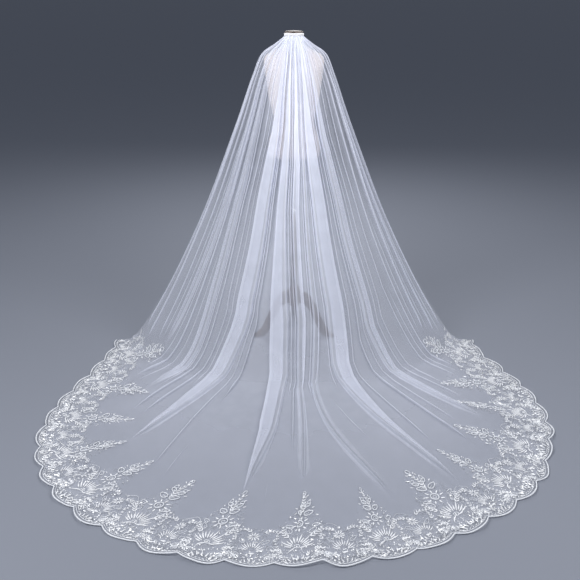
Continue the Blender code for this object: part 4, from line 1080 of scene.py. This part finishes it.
def make_sequins(trim, rng):
    """Flat round sequins and longer pointed ones, each tipped a little its own way."""
    for x, y in scattered(rng, SEQUINS, 0.6):
        radius = rng.uniform(0.0018, 0.0036)
        tip, way = rng.uniform(0.1, 0.5), rng.uniform(0.0, tau)
        along = np.append(x + radius * np.cos(HEXAGON), x)
        up = np.append(y + radius * np.sin(HEXAGON), y)
        height = np.append(0.002 + radius * tip * np.cos(HEXAGON - way), 0.0022)
        trim.add(along, up, height, [(k, (k + 1) % 6, 6) for k in range(6)])
    for x, y in scattered(rng, LONG_SEQUINS, 0.66, LONG_SEQUIN_TOP):
        leaf(trim, x, y, rng.normal(0.0, 0.9), rng.uniform(0.009, 0.018), rng.uniform(0.0042, 0.0068),
             0.0026, stations=SMALL_STATIONS)


def make_beads(trim, rng):
    """Small round beads, each a ring, a smaller ring above it and a top."""
    for x, y in scattered(rng, BEADS, 0.45):
        radius = rng.uniform(0.001, 0.0017)
        rings = np.append(np.outer((1.0, 0.6), np.cos(HEXAGON)), 0.0)
        aside = np.append(np.outer((1.0, 0.6), np.sin(HEXAGON)), 0.0)
        height = np.repeat((1.0, 1.8, 2.0), (6, 6, 1))
        faces = [(k, (k + 1) % 6, 6 + (k + 1) % 6, 6 + k) for k in range(6)]
        faces += [(6 + k, 6 + (k + 1) % 6, 12) for k in range(6)]
        trim.add(x + radius * rings, y + radius * aside, radius * height, faces)


def make_lace_ground(finish):
    """The net that the lace is worked on, from its scalloped edge to its inner outline."""
    run = np.linspace(-LACE_OVERRUN, HEM_LENGTH + LACE_OVERRUN, SCALLOPS * GROUND_STEPS + 1)
    shares = np.linspace(0.0, 1.0, GROUND_ROWS)
    along, share = (table.ravel() for table in np.meshgrid(run, shares, indexing="ij"))
    points, side = LACE.place(along, share * lace_width(along / REPEAT),
                              np.full(along.size, LACE_CLEARANCE))
    points[:, 2] = np.maximum(points[:, 2], GROUND_LOWEST)
    inside = np.abs(side) < 1.0
    faces = [face for face in grid_faces(len(run), len(shares)) if inside[face].any()]
    points, faces, used = used_only(points, faces)
    ground = piece("lace_ground", points, faces, finish)
    cover = LACE_COVER - LACE_COVER_LOSS * fade(share, *LACE_COVER_OUT)
    paint_cover(ground, cover[used])
    return ground


def make_edge_cords(finish):
    """The thick cord on the scalloped edge and the thin one inside it."""
    cords = Trim()
    run = np.linspace(EDGE_END, HEM_LENGTH - EDGE_END, SCALLOPS * EDGE_STEPS)
    for up, radius in EDGE_CORDS:
        for first in range(0, len(run) - 1, EDGE_STEPS):
            part = run[first:first + EDGE_STEPS + 1]
            tube(cords, np.stack([part, np.full(part.shape, up)], -1), radius, sides=6)
    return cords.made("edge_cords", finish)


def make_lace():
    """The whole lace edge."""
    rng = np.random.default_rng(LACE_SEED)
    thread, cords, filling, sequins, beads = (Trim() for _ in range(5))
    make_lace_motifs(thread, cords)
    make_filling(filling, rng)
    make_sequins(sequins, rng)
    make_beads(beads, rng)
    cord_finish = thread_material("lace_cord", CORD_WHITE)
    ground = make_lace_ground(net_material("lace_net", LACE_NET_WHITE))
    pieces = [
        thread.made("lace_embroidery", thread_material("lace_thread", THREAD_WHITE)),
        cords.made("lace_cords", cord_finish),
        # The filling's grey colour is painted shade among the raised embroidery.
        filling.made("lace_filling", thread_material("lace_filling_painted_shade", FILLING_PAINTED_SHADE_GREY)),
        sequins.made("lace_sequins", gloss_material("sequin", SEQUIN_WHITE, 0.2, 0.15), False),
        beads.made("lace_beads", gloss_material("bead", BEAD_WHITE, 0.14, 0.0)),
    ]
    edge = make_edge_cords(cord_finish)
    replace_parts(ground, "lace_border")
    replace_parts(edge, "hem_cord")


# ---------- heading and stitches
def make_heading(finish):
    """The satin binding round the gathered top."""
    (inside, outside), (low, high) = HEADING_RADII, HEADING_HEIGHTS
    turn = tau * np.arange(HEADING_SIDES) / HEADING_SIDES
    away, upright = (np.abs(way) ** HEADING_SQUARENESS * np.sign(way)
                     for way in (np.cos(turn), np.sin(turn)))
    rng = np.random.default_rng(HEADING_SEED)
    wander = np.cumsum(rng.uniform(*HEADING_UNEVEN, HEADING_STEPS + 1))
    wander = wander / wander[-1] * HEADING_GATHERS
    puff = 1.0 - HEADING_PUFF * (0.5 + 0.5 * np.cos(tau * wander))[:, None]
    radius = (inside + outside) / 2.0 + (outside - inside) / 2.0 * away * puff
    height = (low + high) / 2.0 + (high - low) / 2.0 * upright * (0.5 + 0.5 * puff)
    angle = HEADING_HALF_ANGLE * np.linspace(-1.0, 1.0, HEADING_STEPS + 1)[:, None]
    points = round_axis(radius, angle, height).reshape(-1, 3)
    faces = grid_faces(HEADING_STEPS + 1, HEADING_SIDES, closed=True)
    faces.append(list(reversed(range(HEADING_SIDES))))
    faces.append(list(range(len(points) - HEADING_SIDES, len(points))))
    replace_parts(piece("heading_binding", points, faces, finish), "heading_band")


def make_stitches(finish):
    """The thread that sews the binding to the comb."""
    turn = tau * np.arange(STITCH_STEPS)[:, None] / STITCH_STEPS
    across, away = np.array(STITCH_SECTION).T
    (middle_radius, middle_height), (half_radius, half_height) = STITCH_MIDDLE, STITCH_RADII
    inner = middle_radius + half_radius * np.cos(turn)
    radius = inner + away * np.cos(turn)
    height = middle_height + half_height * np.sin(turn) + away * np.sin(turn)
    loop = grid_faces(STITCH_STEPS, len(STITCH_SECTION), around=True, closed=True, flip=True)
    points, faces = [], []
    for i in range(STITCHES):
        place = HEADING_HALF_ANGLE * STITCH_SPREAD * (2.0 * (i + 0.5) / STITCHES - 1.0)
        for lean, beside in STITCH_LEANS:
            angle = place + beside + lean * np.sin(turn) / inner + across / radius
            faces += [[k + len(points) for k in face] for face in loop]
            points += round_axis(radius, angle, height).reshape(-1, 3).tolist()
    piece("heading_stitches", points, faces, finish)


# ---------- dress form and stand
def make_form(finish):
    """The form's cover, with its sewn seams."""
    heights = np.linspace(FORM_HEIGHTS[0], FORM_HEIGHTS[-1], FORM_ROWS)
    half_width, front, back, squareness = (
        glide(FORM_HEIGHTS, table, heights)
        for table in (FORM_HALF_WIDTHS, FORM_FRONTS, FORM_BACKS, FORM_SQUARENESS))
    column = np.arange(FORM_SIDES)[:, None]
    off_seam = np.abs(column - SEAM_COLUMNS)
    off_seam = np.minimum(off_seam, FORM_SIDES - off_seam).min(axis=1, keepdims=True)
    groove = np.select([off_seam == 0, off_seam == 1], SEAM_DEPTHS)
    groove = groove * (1.0 - fade(heights, *SEAMS_OUT))
    c, s = np.cos(tau * column / FORM_SIDES), np.sin(tau * column / FORM_SIDES)
    depth = np.where(s > 0.0, front, back)
    x = (half_width - groove) * np.abs(c) ** (2.0 / squareness) * np.sign(c)
    y = (depth - groove) * np.abs(s) ** (2.0 / squareness) * np.sign(s)
    body = np.stack(np.broadcast_arrays(x, y, heights), -1)
    foot = [body[:, :1] * (share, share, 0.0) + (0.0, 0.0, height) for share, height in FORM_FOOT]
    points = np.concatenate(foot + [body], axis=1)
    rows = points.shape[1]
    faces = grid_faces(FORM_SIDES, rows, around=True)
    faces.append([k * rows for k in range(FORM_SIDES)])
    faces.append([k * rows + rows - 1 for k in reversed(range(FORM_SIDES))])
    torso = piece("form_cover", points.reshape(-1, 3), faces, finish, sharp_deg=60.0)
    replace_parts(torso, "form_torso")


def solid_piece(shape, matrix, name, node, finish):
    """The piece that a bmesh holds, put in its place instead of a CAD node."""
    shape.transform(matrix)
    verts = [tuple(vert.co) for vert in shape.verts]
    faces = [[vert.index for vert in face.verts] for face in shape.faces]
    shape.free()
    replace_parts(piece(name, verts, faces, finish, sharp_deg=SHARP_DEG), node)


def turned(name, node, profile, finish, slot, sides=48, matrix=Matrix.Identity(4)):
    """A solid of revolution about +Z from (radius, height) points."""
    shape = bmesh.new()
    points = [shape.verts.new((r, 0.0, z)) for r, z in profile]
    edges = [shape.edges.new(pair) for pair in zip(points, points[1:])]
    bmesh.ops.spin(shape, geom=points + edges, axis=(0, 0, 1), cent=(0, 0, 0), steps=sides, angle=tau)
    bmesh.ops.remove_doubles(shape, verts=shape.verts, dist=WELD)
    bmesh.ops.recalc_face_normals(shape, faces=shape.faces)
    solid_piece(shape, matrix, name, node, finish)


def make_leg(number, angle_deg, finish):
    """One curved leg with eased edges."""
    shape = bmesh.new()
    near, far = ([shape.verts.new((r, y, z)) for r, z in LEG_OUTLINE]
                 for y in (-LEG_THICKNESS / 2.0, LEG_THICKNESS / 2.0))
    caps = [shape.faces.new(near), shape.faces.new(list(reversed(far)))]
    for k in range(len(near)):
        m = (k + 1) % len(near)
        shape.faces.new((near[k], far[k], far[m], near[m]))
    bmesh.ops.recalc_face_normals(shape, faces=shape.faces)
    rims = [edge for cap in caps for edge in cap.edges]
    bmesh.ops.bevel(shape, geom=rims, offset=LEG_EDGE, segments=3, profile=0.5, affect="EDGES")
    place = Matrix.Rotation(radians(angle_deg), 4, "Z")
    solid_piece(shape, place, f"leg_{number}", f"stand_leg_{number}", finish)


def make_stand(wood, metal):
    """Pole, rod, ferrule, clamp screw, legs and the cap on the form's neck."""
    turned("pole", "stand_pole", POLE_PROFILE, wood, "dark_wood")
    turned("rod", "stand_rod", ROD_PROFILE, metal, "stand_metal", sides=32)
    turned("ferrule", "stand_ferrule", FERRULE_PROFILE, metal, "stand_metal")
    screw_place = Matrix.Translation((0.0, 0.0, SCREW_HEIGHT)) @ Matrix.Rotation(pi / 2.0, 4, "X")
    turned("clamp_screw", "stand_clamp_screw", SCREW_PROFILE, metal, "stand_metal", sides=32,
           matrix=screw_place)
    turned("neck_cap", "form_neck_cap", CAP_PROFILE, wood, "dark_wood", sides=64)
    for number, angle in enumerate(LEG_ANGLES, start=1):
        make_leg(number, angle, wood)


# ---------- materials
def fill(tree, node, inputs):
    """Gives a node's inputs their values, or the outputs of other nodes."""
    for socket, value in inputs.items():
        if isinstance(value, bpy.types.NodeSocket):
            tree.links.new(value, node.inputs[socket])
        else:
            node.inputs[socket].default_value = value


def output(tree, kind, name, inputs):
    """The named output of a new shader node."""
    node = tree.nodes.new("ShaderNode" + kind)
    fill(tree, node, inputs)
    return node.outputs[name]


def new_material(name, color, roughness, metallic=0.0, sheen=0.0):
    """A material, its Principled node and its node tree."""
    made = bpy.data.materials.new(name)
    made.use_nodes = True
    shader = made.node_tree.nodes["Principled BSDF"]
    fill(made.node_tree, shader, {"Base Color": (*color, 1.0), "Roughness": roughness,
                                  "Metallic": metallic, "Sheen Weight": sheen})
    return made, shader, made.node_tree


def object_noise(tree, scale, stretch=(1.0, 1.0, 1.0), detail=3.0):
    """Noise in the object's own metres, drawn out along an axis."""
    place = output(tree, "TexCoord", "Object", {})
    place = output(tree, "Mapping", "Vector", {"Vector": place, "Scale": stretch})
    return output(tree, "TexNoise", "Fac", {"Vector": place, "Scale": scale, "Detail": detail})


def color_between(tree, factor, low, high, low_at, high_at):
    """A colour that goes from low to high with the factor."""
    ramp = tree.nodes.new("ShaderNodeValToRGB")
    for stop, position, color in zip(ramp.color_ramp.elements, (low_at, high_at), (low, high)):
        stop.position = position
        stop.color = (*color, 1.0)
    fill(tree, ramp, {"Fac": factor})
    return ramp.outputs["Color"]


def shade(color, share):
    """A darker colour."""
    return tuple(channel * share for channel in color)


def mottle(tree, shader, texture, low, high, stops=(0.35, 0.65), relief=None):
    """Lets a texture vary the colour between two, and raise a small relief."""
    fill(tree, shader, {"Base Color": color_between(tree, texture, low, high, *stops)})
    if relief is not None:
        strength, distance = relief
        fill(tree, shader, {"Normal": output(tree, "Bump", "Normal", {
            "Height": texture, "Strength": strength, "Distance": distance})})


def net_material(name, color):
    """White net, which lets through what its cover leaves open."""
    made, shader, tree = new_material(name, color, 0.6, sheen=0.35)
    mottle(tree, shader, object_noise(tree, 14.0, detail=2.0), shade(color, 0.94), color)
    cover = tree.nodes.new("ShaderNodeAttribute")
    cover.attribute_name = "net_cover"
    fill(tree, shader, {"Alpha": cover.outputs["Fac"]})
    return made


def thread_material(name, color):
    """Twisted cotton thread."""
    made, shader, tree = new_material(name, color, 0.48, sheen=0.3)
    mottle(tree, shader, object_noise(tree, 420.0), shade(color, 0.82), color,
               relief=(0.35, 0.0006))
    return made


def gloss_material(name, color, roughness, metallic):
    """Sequins and beads."""
    made, shader, tree = new_material(name, color, roughness, metallic)
    mottle(tree, shader, object_noise(tree, 90.0, detail=1.0), shade(color, 0.8), color)
    return made


def satin_material():
    """The heading's binding."""
    made, shader, tree = new_material("satin", SATIN_WHITE, 0.34, sheen=0.4)
    noise = object_noise(tree, 260.0, stretch=(1.0, 1.0, 0.15))
    mottle(tree, shader, noise, shade(SATIN_WHITE, 0.9), SATIN_WHITE)
    return made


def linen_material():
    """The form's woven cover."""
    made, shader, tree = new_material("linen", LINEN, 0.86, sheen=0.25)
    weave = tree.nodes.new("ShaderNodeMath")
    weave.operation = "ADD"
    fill(tree, weave, {0: object_noise(tree, 520.0, stretch=(1.0, 1.0, 0.12)),
                       1: object_noise(tree, 520.0, stretch=(0.12, 0.12, 1.0))})
    mottle(tree, shader, weave.outputs["Value"], *LINEN_RANGE, stops=(0.75, 1.0),
               relief=(0.4, 0.0005))
    return made


def wood_material():
    """Dark stained wood with its grain upright."""
    made, shader, tree = new_material("dark_wood", WOOD, 0.5)
    grain = object_noise(tree, 60.0, stretch=(1.0, 1.0, 0.06), detail=6.0)
    mottle(tree, shader, grain, *WOOD_RANGE, relief=(0.15, 0.0008))
    return made


def metal_material(name, color, roughness):
    """Brushed metal."""
    made, shader, tree = new_material(name, color, roughness, 1.0)
    brushed = object_noise(tree, 300.0, stretch=(1.0, 1.0, 0.08))
    fill(tree, shader, {"Roughness": output(tree, "MapRange", "Result", {
        "Value": brushed, "To Min": roughness * 0.8, "To Max": roughness * 1.3})})
    return made


def dress_cad_node(name, finish):
    """Gives a CAD node that stays in sight its finish."""
    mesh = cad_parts[name].data
    mesh.materials.clear()
    mesh.materials.append(finish)


# ---------- stage and camera
def make_floor():
    """A plain floor that runs out of sight."""
    mesh = bpy.data.meshes.new("floor")
    corners = [(x * FLOOR_HALF, y * FLOOR_HALF, 0.0) for x, y in ((-1, -1), (1, -1), (1, 1), (-1, 1))]
    mesh.from_pydata(corners, [], [(0, 1, 2, 3)])
    mesh.materials.append(new_material("floor_paint", FLOOR_PAINT, 0.75)[0])
    linked("floor", mesh)


def make_sky():
    """Soft light from all round, darker towards the horizon."""
    world = bpy.data.worlds.new("studio")
    bpy.context.scene.world = world
    world.use_nodes = True
    tree = world.node_tree
    way = output(tree, "TexCoord", "Generated", {})
    height = output(tree, "SeparateXYZ", "Z", {"Vector": way})
    sky = color_between(tree, height, shade(SKY, SKY_LOW_SHARE), SKY, 0.0, 0.5)
    fill(tree, tree.nodes["Background"], {"Color": sky})


def hang_lamp(light, place, target):
    """Puts a light at a place round the pole's axis and turns it towards another."""
    lamp = linked(light.name, light)
    lamp.location = Vector(AXIS) + Vector(place)
    direction = Vector(AXIS) + Vector(target) - lamp.location
    lamp.rotation_euler = direction.to_track_quat("-Z", "Y").to_euler()


def make_lamps():
    """Three soft boxes, and a spot on the top of the veil."""
    for name, place, width, power in LAMPS:
        light = bpy.data.lights.new(name, "AREA")
        light.shape = "SQUARE"
        light.size = width
        light.energy = power
        hang_lamp(light, place, LAMP_TARGET)
    light = bpy.data.lights.new("top", "SPOT")
    light.energy = SPOT_POWER
    light.spot_size = SPOT_CONE
    light.spot_blend = 1.0
    light.shadow_soft_size = SPOT_SOFTNESS
    hang_lamp(light, SPOT_PLACE, SPOT_TARGET)


def make_camera():
    """The camera behind the veil, a little over its top."""
    lens = bpy.data.cameras.new("camera")
    lens.sensor_width = SENSOR
    lens.lens = FOCAL_LENGTH / PICTURE * SENSOR
    lens.shift_x = CENTRE_SHIFT / PICTURE
    camera = linked("camera", lens)
    camera.location = Vector(AXIS) + Vector(CAMERA_PLACE)
    camera.rotation_euler = (pi / 2.0 - CAMERA_PITCH, 0.0, 0.0)
    bpy.context.scene.camera = camera


def main():
    make_camera()
    make_floor()
    make_sky()
    make_lamps()
    bpy.context.scene.cycles.transparent_max_bounces = SEE_THROUGH_BOUNCES
    bpy.context.scene.view_settings.view_transform = "Standard"
    tulle = make_tulle(net_material("tulle_net", TULLE_WHITE))
    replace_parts(tulle, "veil_fall", "veil_train")
    make_lace()
    make_heading(satin_material())
    make_stitches(thread_material("sewing_thread", SEWING_WHITE))
    make_form(linen_material())
    make_stand(wood_material(), metal_material("stand_metal", STEEL, 0.28))
    dress_cad_node("comb", metal_material("comb_metal", COMB_METAL, 0.22))


main()
